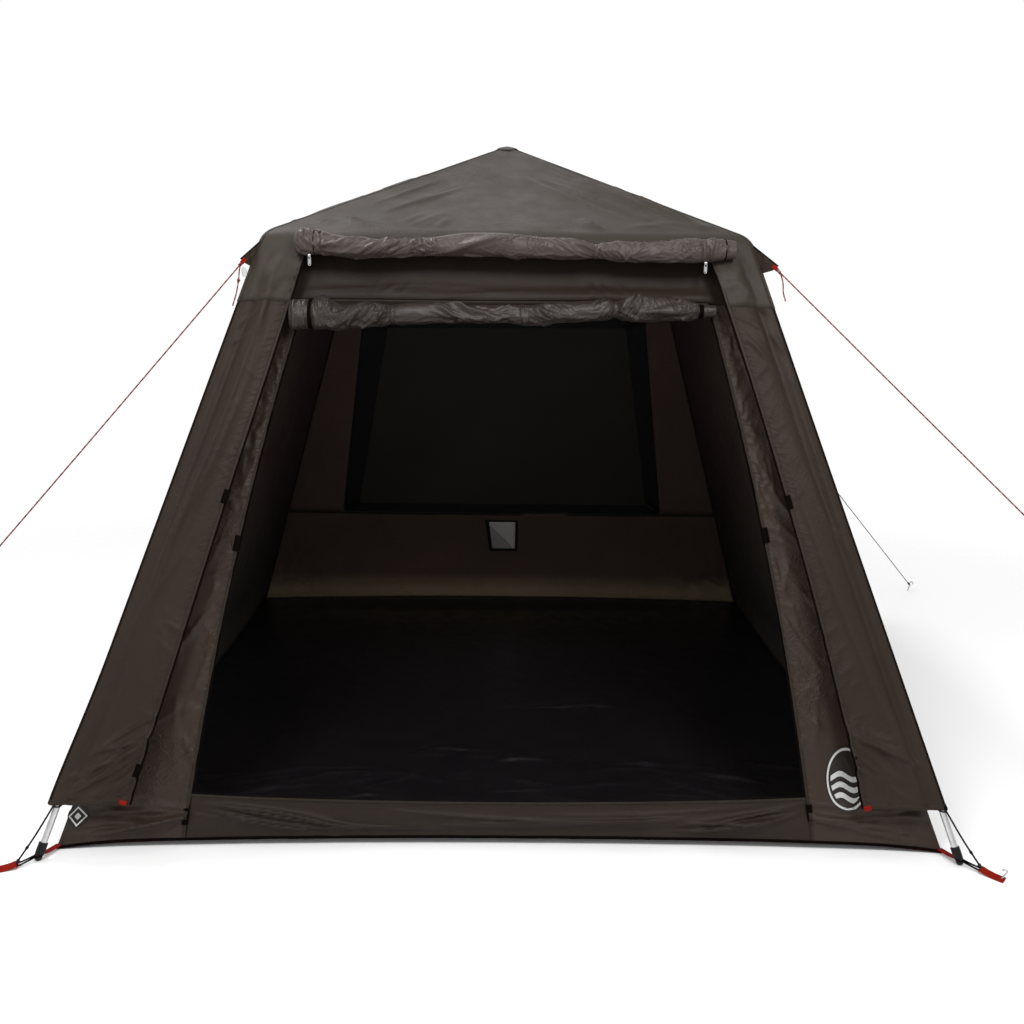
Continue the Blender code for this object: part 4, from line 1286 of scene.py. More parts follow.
FLY_ROLL = Roll(
    skin=FLY, z=1.612, half_height=0.031, half_depth=0.026, left=-0.602, right=0.650,
    profile=[(-0.602, 1.610, 0.024), (-0.580, 1.612, 0.031), (-0.535, 1.612, 0.034), (-0.487, 1.606, 0.027),
             (-0.408, 1.598, 0.028), (-0.312, 1.599, 0.020), (-0.218, 1.606, 0.024), (-0.125, 1.613, 0.030),
             (-0.020, 1.613, 0.032), (0.093, 1.606, 0.029), (0.192, 1.601, 0.025), (0.252, 1.600, 0.019),
             (0.320, 1.599, 0.027), (0.433, 1.597, 0.026), (0.518, 1.601, 0.033), (0.555, 1.604, 0.034),
             (0.631, 1.608, 0.026), (0.650, 1.608, 0.024)],
    zones=[Pleats(-0.400, 0.045, 0.080, 0.016, 8, -0.50, 0.12, 0.150, 0.0060, 0.0075),
           Pleats(-0.300, 0.045, 0.050, 0.025, 9, -0.75, 0.45, 0.060, 0.0045, 0.0055),
           Pleats(-0.235, 0.055, 0.045, 0.025, 12, 0.70, 0.70, 0.045, 0.0040, 0.0050),
           Pleats(-0.070, 0.050, 0.050, 0.012, 3, -0.22, 0.06, 0.260, 0.0110, 0.0055),
           Pleats(0.180, 0.045, 0.060, 0.018, 6, 0.42, 0.15, 0.130, 0.0075, 0.0065),
           Pleats(0.262, 0.050, 0.020, 0.030, 9, 1.30, 0.40, 0.030, 0.0030, 0.0035),
           Pleats(0.320, 0.045, 0.028, 0.028, 11, 0.95, 0.30, 0.050, 0.0035, 0.0035),
           Pleats(0.360, 0.045, 0.028, 0.028, 11, -0.95, 0.30, 0.050, 0.0035, 0.0035),
           Pleats(0.450, 0.045, 0.060, 0.030, 16, -0.40, 0.70, 0.055, 0.0045, 0.0038),
           Pleats(0.520, 0.040, 0.028, 0.030, 10, 0.75, 0.20, 0.040, 0.0032, 0.0035),
           Pleats(-0.510, 0.040, 0.030, 0.020, 6, -0.50, 0.40, 0.050, 0.0060, 0.0060),
           Pleats(-0.575, 0.045, 0.025, 0.030, 9, 1.15, 0.45, 0.070, 0.0060, 0.0060),
           Pleats(0.600, 0.045, 0.025, 0.030, 7, 1.75, 0.45, 0.060, 0.0055, 0.0050),
           Pleats(0.000, 0.100, 0.600, 0.030, 26, 0.10, 0.60, 0.120, 0.0070, 0.0045)],
    ties=[-0.535, 0.252, 0.558], lip=(0.9, 0.0017), seed=400)
INNER_ROLL = Roll(
    skin=INNER, z=1.425, half_height=0.038, half_depth=0.030, left=-0.618, right=0.602,
    profile=[(-0.618, 1.411, 0.040), (-0.580, 1.411, 0.044), (-0.513, 1.414, 0.045), (-0.470, 1.404, 0.032),
             (-0.413, 1.408, 0.030), (-0.328, 1.416, 0.028), (-0.242, 1.419, 0.031), (-0.129, 1.422, 0.023),
             (-0.015, 1.421, 0.025), (0.071, 1.420, 0.027), (0.156, 1.426, 0.030), (0.270, 1.435, 0.029),
             (0.312, 1.439, 0.023), (0.384, 1.438, 0.039), (0.469, 1.441, 0.035), (0.540, 1.438, 0.023),
             (0.563, 1.437, 0.018), (0.602, 1.437, 0.017)],
    zones=[Pleats(-0.590, 0.050, 0.020, 0.030, 7, 1.45, 0.40, 0.060, 0.0065, 0.0055),
           Pleats(-0.520, 0.050, 0.024, 0.035, 10, 1.35, 0.35, 0.070, 0.0060, 0.0055),
           Pleats(-0.410, 0.050, 0.050, 0.028, 11, -0.50, 0.20, 0.140, 0.0070, 0.0090),
           Pleats(-0.350, 0.050, 0.016, 0.025, 6, -0.80, 0.20, 0.060, 0.0045, 0.0070),
           Pleats(-0.150, 0.045, 0.050, 0.025, 6, 0.42, 0.20, 0.150, 0.0080, 0.0085),
           Pleats(-0.040, 0.055, 0.050, 0.025, 10, -0.25, 0.45, 0.080, 0.0055, 0.0065),
           Pleats(0.050, 0.050, 0.015, 0.030, 5, 1.40, 0.20, 0.045, 0.0045, 0.0055),
           Pleats(0.120, 0.050, 0.055, 0.028, 10, 0.42, 0.35, 0.085, 0.0060, 0.0065),
           Pleats(0.270, 0.050, 0.025, 0.030, 12, -0.55, 0.60, 0.045, 0.0042, 0.0055),
           Pleats(0.350, 0.050, 0.025, 0.030, 9, -0.80, 0.30, 0.070, 0.0055, 0.0065),
           Pleats(0.420, 0.035, 0.060, 0.025, 14, 1.35, 0.35, 0.050, 0.0048, 0.0045),
           Pleats(0.450, 0.060, 0.040, 0.014, 4, -0.04, 0.08, 0.170, 0.0060, 0.0070),
           Pleats(0.515, 0.050, 0.025, 0.030, 14, -0.50, 0.80, 0.032, 0.0035, 0.0045),
           Pleats(0.000, 0.100, 0.550, 0.030, 26, 0.10, 0.60, 0.120, 0.0070, 0.0050)],
    ties=[-0.560, -0.327, 0.312, 0.558], lip=(2.2, 0.0022), seed=430)


def roll_frame(roll):
    """Point on the wall behind the roll's middle, the direction up the wall and the one away from it."""
    across = float(spans(roll.skin, "front", roll.z)[0])
    up = Vector((0, lean(roll.skin, "front"), 1)).normalized()
    return np.array((0.0, -across, roll.z)), np.array(up), np.array(Vector((1, 0, 0)).cross(up))


def roll_shape(roll, x):
    """Rise of the middle, half height and half depth of a roll at x."""
    xs, middles, heights = (np.array(column) for column in zip(*roll.profile))
    fine = np.linspace(roll.left, roll.right, 800)
    kernel = np.exp(-np.linspace(-2.2, 2.2, 41) ** 2)
    kernel /= kernel.sum()

    def at(values):
        line = np.interp(fine, xs, values)
        padded = np.pad(line, 20, mode="edge")
        return np.interp(x, fine, np.convolve(padded, kernel, mode="valid"))
    middle, height = at(middles), at(heights)
    pinch = 1.0
    for tie in roll.ties:
        pinch = pinch - 0.10 * np.exp(-((x - tie) / 0.010) ** 2)
    _, up, _ = roll_frame(roll)
    depth = roll.half_depth * (height / roll.half_height) ** 0.6
    return (middle - roll.z) / up[2], height * pinch, depth * pinch


def roll_relief(roll, x, arc, turn):
    relief = 0.0006 * crumple(x, arc, 0.016, roll.seed) + 0.0020 * noise(x * 11, arc * 20, roll.seed + 9)
    finer = [zone._replace(count=zone.count * 3, length=zone.length * 0.7, width=zone.width * 0.50,
                           depth=zone.depth * 0.50) for zone in roll.zones]
    relief = relief + 1.05 * pleated(x, arc, roll.zones, roll.seed + 20, 3.2)
    relief = relief + 1.2 * pleated(x, arc, finer, roll.seed + 70, 3.0)
    where, step = roll.lip
    edge = where + 0.16 * noise(x * 3.0, 0.5, roll.seed + 50) + 0.05 * noise(x * 14.0, 0.2, roll.seed + 51)
    relief = relief + step * smooth(edge + 0.035, edge - 0.035, turn) * smooth(edge - 1.6, edge - 0.4, turn)
    calm = 1.0
    for tie in roll.ties:
        calm = calm - 0.70 * np.exp(-((x - tie) / 0.009) ** 2)
    ends = smooth(roll.left - 0.006, roll.left + 0.014, x) * smooth(roll.right + 0.006, roll.right - 0.014, x)
    return relief * calm * ends


def build_roll(name, node, roll, material):
    length, sides, cap = 500, 64, 7
    outer, up, away = roll_frame(roll)
    x = np.linspace(roll.left, roll.right, length)[:, None]
    turn = turns_of(sides)[None, :]
    along, around = x + 0 * turn, turn * ROLL_ROUND + 0 * x
    rise, height, depth = roll_shape(roll, x)
    relief = roll_relief(roll, x, turn * ROLL_ROUND, turn)
    high = rise + np.cos(turn) * (height + relief)
    deep = np.maximum(depth + np.sin(turn) * (depth + relief) + ROLL_GAP, 0.0006)

    def placed(along, high, deep):
        return outer + along[..., None] * (1.0, 0.0, 0.0) + up * high[..., None] + away * deep[..., None]
    rows, uv = [placed(along, high, deep)], [np.stack([around, along], -1)]
    shrink = np.linspace(1, 0.05, cap + 1)[1:][:, None]
    layers = (shrink * 5.0 + turn / math.tau) % 1.0
    for end, sign in ((0, -1), (-1, 1)):
        middle_high, middle_deep = rise[end], depth[end] + ROLL_GAP
        inset = -sign * (0.0015 + 0.0035 * (1 - shrink) + 0.0016 * np.abs(layers - 0.5))
        lid = placed(x[end] + inset + 0 * turn, middle_high + (high[end] - middle_high) * shrink,
                     middle_deep + (deep[end] - middle_deep) * shrink)
        lid_uv = np.stack([turn * ROLL_ROUND * shrink, x[end] + shrink * 0.03 + 0 * turn], -1)
        if sign < 0:
            rows.insert(0, lid[::-1])
            uv.insert(0, lid_uv[::-1])
        else:
            rows.append(lid)
            uv.append(lid_uv)
    points = np.concatenate(rows)
    item = add_mesh(name, points, grid_faces(len(points), sides, wrap=True), material, np.concatenate(uv),
                    end_caps(len(points), sides))
    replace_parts(item, node)


def build_roll_ties(roll, sheet, name, kinds):
    """Straps round a roll. kinds are x, width and material of each."""
    outer, up, away = roll_frame(roll)
    turn = turns_of(56)
    outs = up * np.cos(turn)[:, None] + away * np.sin(turn)[:, None]
    for k, (x, width, material) in enumerate(kinds):
        rise, height, depth = (value.item() for value in roll_shape(roll, np.array([x])))
        high = rise + np.cos(turn) * (height * 1.02 + 0.0006)
        deep = np.maximum(depth + np.sin(turn) * (depth * 1.04 + 0.0010) + ROLL_GAP, 0.0002)
        line = outer + np.array((x, 0.0, 0.0)) + up * high[:, None] + away * deep[:, None]
        sew(strip("%s_%d" % (name, k), line, outs, width, 0.0011, material, closed=True), sheet)


def build_tie_point():
    """Pointed end of the left tie, which stands up from the top of the rolled flysheet door."""
    x = FLY_ROLL.ties[0]
    outer, up, away = roll_frame(FLY_ROLL)
    rise, height, depth = (value.item() for value in roll_shape(FLY_ROLL, np.array([x])))
    steps = np.linspace(0, 1, 14)[:, None]
    high = rise + height * (0.80 + 0.50 * steps)
    deep = depth * (2.02 - 0.95 * steps ** 2)
    line = outer + np.array((x, 0.0, 0.0)) + np.array((0.006, 0, 0)) * steps + up * high + away * deep
    width = lerp(0.020, 0.003, steps[:, 0] ** 1.6)
    sew(strip("fly_tie_point", line, away + 0.6 * up, width, 0.0014, ROLL_CLOTH), "flysheet_roof")


def zip_pull(sign, place):
    """Slider and a long ring that hangs from it."""
    name, sheet = HANDS[sign] + "_pull_", "flysheet_front_" + HANDS[sign]
    turn = np.linspace(0, math.tau, 41)
    drop = np.sign(np.cos(turn)) * 0.0085 + np.cos(turn) * 0.0036
    loop = place + np.stack([np.sin(turn) * 0.0036, 0 * turn - 0.002, -0.016 + drop], -1)
    sew(tube(name + "ring", loop, 0.0011, STEEL, 8), sheet)
    plate = place + np.stack([np.zeros(5), np.full(5, -0.002), np.linspace(-0.010, -0.024, 5)], -1)
    sew(strip(name + "plate", plate, (0, -1, 0), 0.0052, 0.0010, STEEL), sheet)
    bulge = np.array([0, -0.002, -0.003, -0.003, -0.002, 0])
    body = place + np.stack([np.zeros(6), bulge, np.linspace(0.006, -0.006, 6)], -1)
    widths = np.array([0.004, 0.007, 0.009, 0.009, 0.008, 0.005])
    sew(strip(name + "slider", body, (0, -1, 0.1), widths, 0.0024, STEEL), sheet)


def fly_parts(side, z):
    """Ends of the cloth of one side at height z. The door parts the front."""
    end = arc_end(spans(FLY, side, z)[1])
    return [(-end, -fly_door(-1, z)), (fly_door(1, z), end)] if side == "front" else [(-end, end)]


def fly_seams(hips):
    """Strips down the corners and the hips. Gives the lines of their stitches."""
    stitches = []
    for corner, (sx, sy) in CORNERS.items():
        side = "front" if sy < 0 else "rear"
        z = np.linspace(HEM_Z + 0.002, SEAM_Z - 0.004, 100)
        q = (sx if side == "front" else -sx) * arc_end(spans(FLY, side, z)[1])
        wall, _ = fly_points(side, q, z, 0.0004)
        for name, line, width, material in (("corner_seam_", wall, 0.009, DARK_BINDING),
                                            ("hip_seam_", hips[corner], 0.013, ROOF_CLOTH)):
            line = curve_through(line[::3], 130)
            along = unit(np.gradient(line, axis=0))
            out = unit(np.array((sx, sy, 1.6), float))
            outs = unit(out - along * (along @ out)[:, None])
            sew(strip(name + corner, line, outs, width, 0.0009, material), "flysheet_roof")
            stitches += [shifted(line, outs, aside * width, 0.0007) for aside in (-0.35, 0.35)]
    return stitches


def fly_hems(side):
    """Hem along the foot of one side. Gives the lines of stitches along it and below the eave."""
    stitches = []
    for first, last in fly_parts(side, SEAM_Z - 0.001):
        q = np.linspace(first, last, 24 if side == "front" else 110)
        stitches += [fly_points(side, q, SEAM_Z + rise + 0 * q, 0.0011) for rise in (-0.001, 0.005)]
    share = np.linspace(-1, 1, 90)
    for k, (first, last) in enumerate(fly_parts(side, HEM_Z)):
        if side == "front":
            sign = -1 if first < 0 else 1
            q = lerp(first, last, (share + 1) / 2)
            height = front_hem_z(sign, (1 - sign * share) / 2) + HEM_MIDDLE
            sheet = "flysheet_front_" + HANDS[sign]
        else:
            height = hem_z(share) + HEM_MIDDLE
            q = share * arc_end(spans(FLY, side, height)[1])
            sheet = "flysheet_%s_wall" % side
        points, outs = fly_points(side, q, height, 0.0002)
        sew(strip("hem_%s_%d" % (side, k), points, outs, HEM_WIDTH, 0.0010, WALL_CLOTH), sheet)
        stitches.append(shifted(points, outs, 0.0045, 0.0010))
    return stitches


def fly_zip(sign):
    """Zip tape, teeth and hem beside the flysheet's door. Gives the lines of their stitches."""
    hand, sheet = HANDS[sign], "flysheet_front_" + HANDS[sign]
    z = np.linspace(HEM_Z + 0.004, FLY_ZIP_TOP, 190)
    edge = fly_door(sign, z)

    def line(inset, lift):
        return fly_points("front", sign * (edge + inset), z, lift)
    sew(strip("fly_zip_tape_" + hand, *line(0.0005, -0.0024), 0.011, 0.0008, BLACK_TAPE), sheet)
    sew(add_bits("fly_zip_teeth_" + hand, [line(-0.0032, -0.0016)], TOOTH_PITCH, TOOTH, ZIP_PLASTIC), sheet)
    sew(strip("fly_door_hem_" + hand, *line(0.0045, 0.0002), 0.009, 0.0009, WALL_CLOTH), sheet)
    return [line(0.0075, 0.0010), line(0.0125, 0.0)]


def build_peak_patch():
    turn = turns_of(48)
    rings, uv = [], []
    for radius in (0.003, 0.014, 0.028, 0.040, 0.0445, PATCH_RADIUS):
        x, y = radius * np.cos(turn), radius * np.sin(turn)
        lift = 0.0016 if radius < PATCH_RADIUS else 0.0002
        rings.append(np.stack([x, y, roof_height(np.maximum(np.abs(x), np.abs(y))) + lift], -1))
        uv.append(np.stack([x, y], -1))
    faces = grid_faces(len(rings), 48, wrap=True)[:, ::-1]
    sew(add_mesh("peak_patch", rings, faces, ROOF_CLOTH, uv, [list(range(48))]), "flysheet_roof")


def build_fly_trim(hips):
    """Seams, stitching, hems and zips of the flysheet, and the patch on its peak."""
    stitches = fly_seams(hips)
    for side in SIDES:
        stitches += fly_hems(side)
    for sign in HANDS:
        stitches += fly_zip(sign)
    sew(add_bits("flysheet_stitches", stitches, STITCH_PITCH, STITCH, THREAD, 0.0002), "flysheet_roof")
    build_peak_patch()


def diagonal_of(corner):
    """Level directions outward through a corner, and across that to its left."""
    sx, sy = CORNERS[corner]
    return np.array((sx, sy, 0.0)) / math.sqrt(2), np.array((-sy, sx, 0.0)) / math.sqrt(2)


def set_corner(corner, z):
    """Where the flysheet's walls would meet without their rounding."""
    half_y, half_x = spans(FLY, "front", z)
    sx, sy = CORNERS[corner]
    return sx * half_x, sy * half_y, z


def build_tabs(hips):
    """Flaps on the eave's corners, which the guy lines pull on. Gives the places of their tips."""
    rows, columns = 24, 14
    across, share = (part[..., None] for part in shares(rows, columns))
    tips = {}
    for corner, (sx, sy) in CORNERS.items():
        line = hips[corner]
        line = line[(line[:, 2] > TAB_FOOT_Z) & (line[:, 2] < TAB_ROOT_Z)]
        root = curve_through(line[::2], rows)
        diagonal, across_it = diagonal_of(corner)
        base = np.array(set_corner(corner, TAB_TIP_Z))
        upper = base + diagonal * TAB_REACH[sx] + up_by(TAB_TIP_HALF)
        lower = base + diagonal * (TAB_REACH[sx] - TAB_TIP_SLANT) - up_by(TAB_TIP_HALF)
        up = share[:, 0]
        outer = np.where(up < 0.26, lerp(root[0], lower, up / 0.26),
                         np.where(up < 0.40, lerp(lower, upper, (up - 0.26) / 0.14),
                                  lerp(upper, root[-1], (up - 0.40) / 0.60)))
        grid = lerp((root - diagonal * 0.004)[:, None], outer[:, None], across)
        wave = 0.0022 * noise(across * 3.0, share * 5.0, 500 + sx + 2 * sy) * np.sin(math.pi * across)
        uv = np.concatenate([across * 0.05 + 0 * share, share * 0.12 + 0 * across], -1)
        tab = add_mesh("guy_flap_" + corner, grid + across_it * wave, grid_faces(rows, columns), WALL_CLOTH,
                       uv)
        thicken(tab, 0.0016).modifiers["thickness"].offset = 0.0
        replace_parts(tab, "guy_tab_" + corner)
        sew(tab, "flysheet_roof")
        edge = lerp(root[-1], upper, np.linspace(0.02, 1.0, 20)[:, None])
        # A black cord along each flap's upper edge draws the dark line of its shaded underside: painted
        # shade.
        sew(tube("flap_edge_" + corner, edge, 0.0017, BLACK_TAPE), "flysheet_roof")
        tips[corner] = (upper + lower) / 2
    return tips


def inner_zip(sign):
    """Binding, zip tape and teeth beside the inner door. Gives the line of its stitches."""
    hand, sheet = HANDS[sign], "inner_tent_front_" + HANDS[sign]
    z = np.linspace(0.010, DOOR_TOP_Z - 0.004, 200)
    edge = inner_door(sign, z)

    def line(inset, lift):
        s = sign * (edge + inset)
        return inner_points("front", s, z, flange_relief(sign, s, z) * (inset > 0) + lift)
    sew(strip("door_binding_" + hand, *line(0.003, 0.0004), 0.008, 0.0012, BINDING), sheet)
    sew(strip("door_zip_tape_" + hand, *line(-0.0005, -0.0020), 0.010, 0.0008, BLACK_TAPE), sheet)
    sew(add_bits("door_zip_teeth_" + hand, [line(-0.0038, -0.0012)], TOOTH_PITCH, TOOTH, ZIP_PLASTIC), sheet)
    return line(0.0095, 0.0004)


def build_inner_trim():
    """Bindings, zips and stitching round the inner door, and the dark welt along the floor."""
    stitches = [inner_zip(sign) for sign in HANDS]
    sheet = "inner_tent_sill"
    s = np.linspace(-inner_door(-1, 0.12) + 0.004, inner_door(1, 0.12) - 0.004, 160)
    z = sill_top(s / SILL_REACH)
    relief = sill_relief(s, 1.0 + 0 * s)
    points, outs = inner_points("front", s, z, 0.0004 + relief)
    sew(strip("sill_binding", points, outs, 0.007, 0.0012, BINDING), sheet)
    teeth = inner_points("front", s, z + 0.006, relief - 0.001)
    sew(add_bits("sill_zip_teeth", [teeth], TOOTH_PITCH, SILL_TOOTH, ZIP_PLASTIC), sheet)
    s = np.linspace(-1, 1, 180) * (INNER.foot_x - 0.004)
    for name, height, width, thick, material in (("floor_welt", 0.0050, 0.007, 0.0016, BLACK_TAPE),
                                                 ("floor_piping", 0.0014, 0.0024, 0.0012, MAROON_TAPE)):
        rows = height + 0.0010 * noise(s * 9.0, 0.3, 510)
        points, outs = inner_points("front", s, np.maximum(rows, width / 2), 0.0006)
        sew(strip(name, points, outs, width, thick, material), sheet)
    s = s * 0.70
    stitches.append(inner_points("front", s, sill_top(s / SILL_REACH) - 0.008, sill_relief(s, 0.93 + 0 * s)))
    sew(add_bits("inner_tent_stitches", stitches, STITCH_PITCH, STITCH, THREAD, 0.0003), sheet)


def build_print(name, sign, middle, size, material):
    """Print on the front of the inner tent. middle and size are pairs: along the wall, and up it."""
    rings, sides = 16, 56
    far, turn = np.linspace(0.02, 1, rings)[:, None], turns_of(sides)[None, :]
    u, v = far * np.cos(turn), far * np.sin(turn)
    s, z = middle[0] + size[0] / 2 * u, middle[1] + size[1] / 2 * v
    points, _ = inner_points("front", s, z, flange_relief(sign, s, z) + 0.0012)
    faces = grid_faces(rings, sides, wrap=True)[:, ::-1]
    patch = add_mesh(name, points, faces, material, np.stack([u, v], -1), [list(range(sides))])
    sew(patch, "inner_tent_front_" + HANDS[sign])


def fly_keeper(name, sign, z, inset, size, material, lift):
    """Short upright tape on the flysheet beside the door. size is its length and width."""
    heights = np.linspace(z - size[0] / 2, z + size[0] / 2, 9)
    bulge = lift + 0.0014 * np.sin(np.linspace(0, math.pi, 9))
    points, outs = fly_points("front", sign * (fly_door(sign, heights) + inset), heights, bulge)
    sew(strip(name, points, outs, size[1], 0.0012, material), "flysheet_front_" + HANDS[sign])


def door_keeper(name, sign, z, size):
    """Short black tape on the edge of the inner tent's door. size is its length and width."""
    heights = np.linspace(max(z - size[0] / 2, 0.012), z + size[0] / 2, 9)
    points, outs = inner_points("front", sign * (inner_door(sign, heights) + 0.004), heights, 0.0060)
    sew(strip(name, points, outs, size[1], 0.0012, BLACK_TAPE), "inner_tent_front_" + HANDS[sign])


def build_keepers():
    """Tapes beside both doors, and the red tags at the foot of the flysheet's zips."""
    for part, sign, z in (("upper", -1, 0.924), ("lower", -1, 0.226), ("upper", 1, 0.924)):
        fly_keeper("keeper_%s_%s" % (part, HANDS[sign]), sign, z, 0.001, (0.036, 0.018), BLACK_TAPE, 0.0036)
    upper, lower = (0.040, 0.017), (0.050, 0.015)
    for part, sign, z, size in (("a", -1, 0.788, upper), ("b", 1, 0.823, upper), ("c", -1, 0.074, lower),
                                ("d", 1, 0.095, lower)):
        door_keeper("door_keeper_" + part, sign, z, size)
    for sign, inset in ((-1, 0.016), (1, 0.010)):
        z = HEM_Z + 0.003 + DOOR_HEM_RISE[sign] / 2
        fly_keeper("red_tag_" + HANDS[sign], sign, z, inset, (0.012, 0.020), RED_TAPE, 0.0016)


# Hardware at the corners

def leg_axis(corner, z):
    half_y, half_x = spans(FLY, "front", z)
    sx, sy = CORNERS[corner]
    return np.array((sx * (half_x - LEG_INSET), sy * (half_y - LEG_INSET), z))


def turned(name, start, direction, profile, sides=32):
    """Plastic part turned about an axis. profile is a list of distance along it and radius."""
    direction = unit(np.asarray(direction, float))
    first = unit(np.cross(direction, (0.3, 0.9, 0.1)))
    second = np.cross(direction, first)
    turn = turns_of(sides)
    around = first * np.cos(turn)[:, None] + second * np.sin(turn)[:, None]
    points = np.array([start + direction * far + radius * around for far, radius in profile])
    points[..., 2] = np.maximum(points[..., 2], 0.0)
    uv = [np.stack([turn * radius, 0 * turn + far], -1) for far, radius in profile]
    item = add_mesh(name, points, grid_faces(len(profile), sides, wrap=True), BLACK_PLASTIC, uv,
                    end_caps(len(profile), sides), 35)
    return item


def build_foot(corner):
    """Ribbed sleeve on a ball. Gives the place of its foot."""
    base, above = leg_axis(corner, 0.0), leg_axis(corner, 0.05)
    ball = [(BALL_RADIUS - BALL_RADIUS * math.cos(a), 0.0004 + BALL_RADIUS * math.sin(a))
            for a in np.linspace(0, 2.35, 12)]
    neck = [(0.0175, 0.0078), (0.0185, GROOVE_RADIUS), (0.0195, SLEEVE_RADIUS)]
    rib = [(0.0, SLEEVE_RADIUS), (0.0030, SLEEVE_RADIUS), (0.0034, GROOVE_RADIUS), (0.0046, GROOVE_RADIUS),
           (0.0050, SLEEVE_RADIUS)]
    ribs = [(RIB_START + k * RIB_PITCH + far, radius) for k in range(RIB_COUNT) for far, radius in rib]
    top = [(0.0480, SLEEVE_RADIUS), (0.0490, 0.0112), (0.0492, 0.0088)]
    foot = turned("foot_sleeve_" + corner, base, above - base, ball + neck + ribs + top)
    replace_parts(foot, "foot_" + corner)
    return base


def build_elbow(corner):
    """Joint at the top of a leg, with the socket of the roof pole."""
    foot, head = leg_axis(corner, ELBOW_FOOT_Z), leg_axis(corner, ELBOW_TOP_Z)
    length = float(np.linalg.norm(head - foot))
    dome = [(length - ELBOW_RADIUS + ELBOW_RADIUS * math.sin(a), ELBOW_RADIUS * math.cos(a))
            for a in np.linspace(0, 1.5, 9)]
    rim = [(0.0, 0.0088), (0.001, 0.0102), (0.004, 0.0110), (0.008, 0.0110), (0.009, ELBOW_RADIUS)]
    sleeve = turned("elbow_sleeve_" + corner, foot, head - foot, rim + dome)
    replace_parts(sleeve, "elbow_" + corner)
    sx, sy = CORNERS[corner]
    end_z = float(roof_height(SOCKET_END)) - SOCKET_DROP
    start, end = leg_axis(corner, SOCKET_Z), np.array((sx * SOCKET_END, sy * SOCKET_END, end_z))
    far = float(np.linalg.norm(end - start))
    profile = [(0.0, 0.0070), (0.006, 0.0082), (far - 0.006, 0.0082), (far - 0.005, 0.0090),
               (far - 0.001, 0.0090), (far, 0.0064)]
    turned("elbow_socket_" + corner, start, end - start, profile)


def webbing(name, line, out, width, thick):
    item = strip(name, line, out, width, thick, RED_TAPE)
    return item


def steel_wire(name, line, radius):
    tube(name, line, radius, STEEL)


def build_corner_strap(corner, base):
    """Red webbing from the inner tent to the foot, a black link, and a red tail held by a peg."""
    sx, sy = CORNERS[corner]
    diagonal, aside = diagonal_of(corner)
    inner = np.array((sx * (INNER.foot_x - 0.006), sy * (INNER.foot_y - 0.006), 0.010))
    neck = base + np.array((-sx * 0.004, -sy * 0.004, 0.0145))
    line = curve_through([inner, lerp(inner, neck, 0.5) - up_by(0.002), neck - diagonal * 0.010], 24)
    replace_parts(webbing("foot_strap_" + corner, line, (0, 0, 1), 0.018, 0.0016), "corner_strap_" + corner)
    tube("foot_loop_" + corner, ring(neck, (0.0105, 0, 0), (0, 0.0105, 0), 37), 0.0020, BLACK_TAPE)
    far = base + diagonal * 0.046 + up_by(0.009)
    half_link = [(neck + diagonal * 0.011, 0.004), (lerp(neck, far, 0.6), 0.005), (far, 0.006)]
    link = [point + aside * half for point, half in half_link] + [far + diagonal * 0.004]
    link += [point - aside * half for point, half in half_link[::-1]]
    tube("foot_link_" + corner, curve_through(link, 40), 0.0024, BLACK_TAPE)
    heading = unit(np.array((-1.0, -0.35, 0.0))) if corner == "front_left" else diagonal
    tail = [far - up_by(0.001)] + [far + heading * d + up_by(h - far[2]) for d, h in (
        (0.006, 0.0105), (0.018, 0.0070), (0.038, 0.0038), (0.064, 0.0026))]
    webbing("peg_tail_" + corner, curve_through(tail, 30), (0, 0.25 * sy, 1), 0.025, 0.0018)
    foot = far + heading * 0.054 - up_by(far[2])
    top = foot + heading * 0.014 + up_by(0.0294)
    hook = [foot, lerp(foot, top, 0.5), top, top - heading * 0.006 + up_by(0.004), top - heading * 0.012]
    steel_wire("corner_peg_" + corner, curve_through(hook, 26), 0.0022)
    build_elastic(corner, diagonal, far)
    build_leg_strap(corner)


def build_elastic(corner, diagonal, far):
    """Elastic from the flysheet's hem to the link at the foot."""
    hem = np.array(set_corner(corner, HEM_Z - 0.004)) - diagonal * 0.010
    cord = curve_through([hem, lerp(hem, far, 0.5) + diagonal * 0.001, far + up_by(0.010)], 60)
    thick = 0.0025 + 0.0020 * np.exp(-((np.linspace(0, 1, 60) - 0.76) / 0.025) ** 2)
    tube("hem_elastic_" + corner, cord, thick, ELASTIC)
    knob = [(0.0, 0.0020), (0.0015, 0.0046), (0.005, 0.0052), (0.009, 0.0040), (0.012, 0.0020)]
    turned("elastic_hook_" + corner, far + up_by(0.003), (0, 0, 1), knob, 20)
    lip = curve_through([hem + up_by(0.016) - diagonal * 0.006, hem + up_by(0.006), hem], 10)
    strip("elastic_tab_" + corner, lip, diagonal, 0.014, 0.0012, BLACK_TAPE)


def build_leg_strap(corner):
    """Black strap from the inner tent to a clip on the leg, at the height of the hem."""
    sx, sy = CORNERS[corner]
    leg = leg_axis(corner, HEM_Z - 0.006)
    half_y, half_x = spans(INNER, "front", HEM_Z - 0.006)
    cabin = np.array((sx * (half_x - 0.002), sy * (half_y - 0.002), HEM_Z - 0.006))
    along = unit(leg - cabin)
    line = curve_through([cabin, lerp(cabin, leg, 0.5) - up_by(0.002), leg - along * 0.0105], 16)
    strip("leg_strap_" + corner, line, np.cross(along, (0, 0, 1.0)) * sx * -sy, 0.010, 0.0012, BLACK_TAPE)
    tube("leg_clip_" + corner, ring(leg, (0.0102, 0, -0.00102), (0, 0.0102, 0), 37), 0.0018, BLACK_PLASTIC)
    steel_wire("strap_ring_" + corner, ring(cabin + along * 0.004, along * 0.006, (0, 0, 0.008), 37), 0.0014)


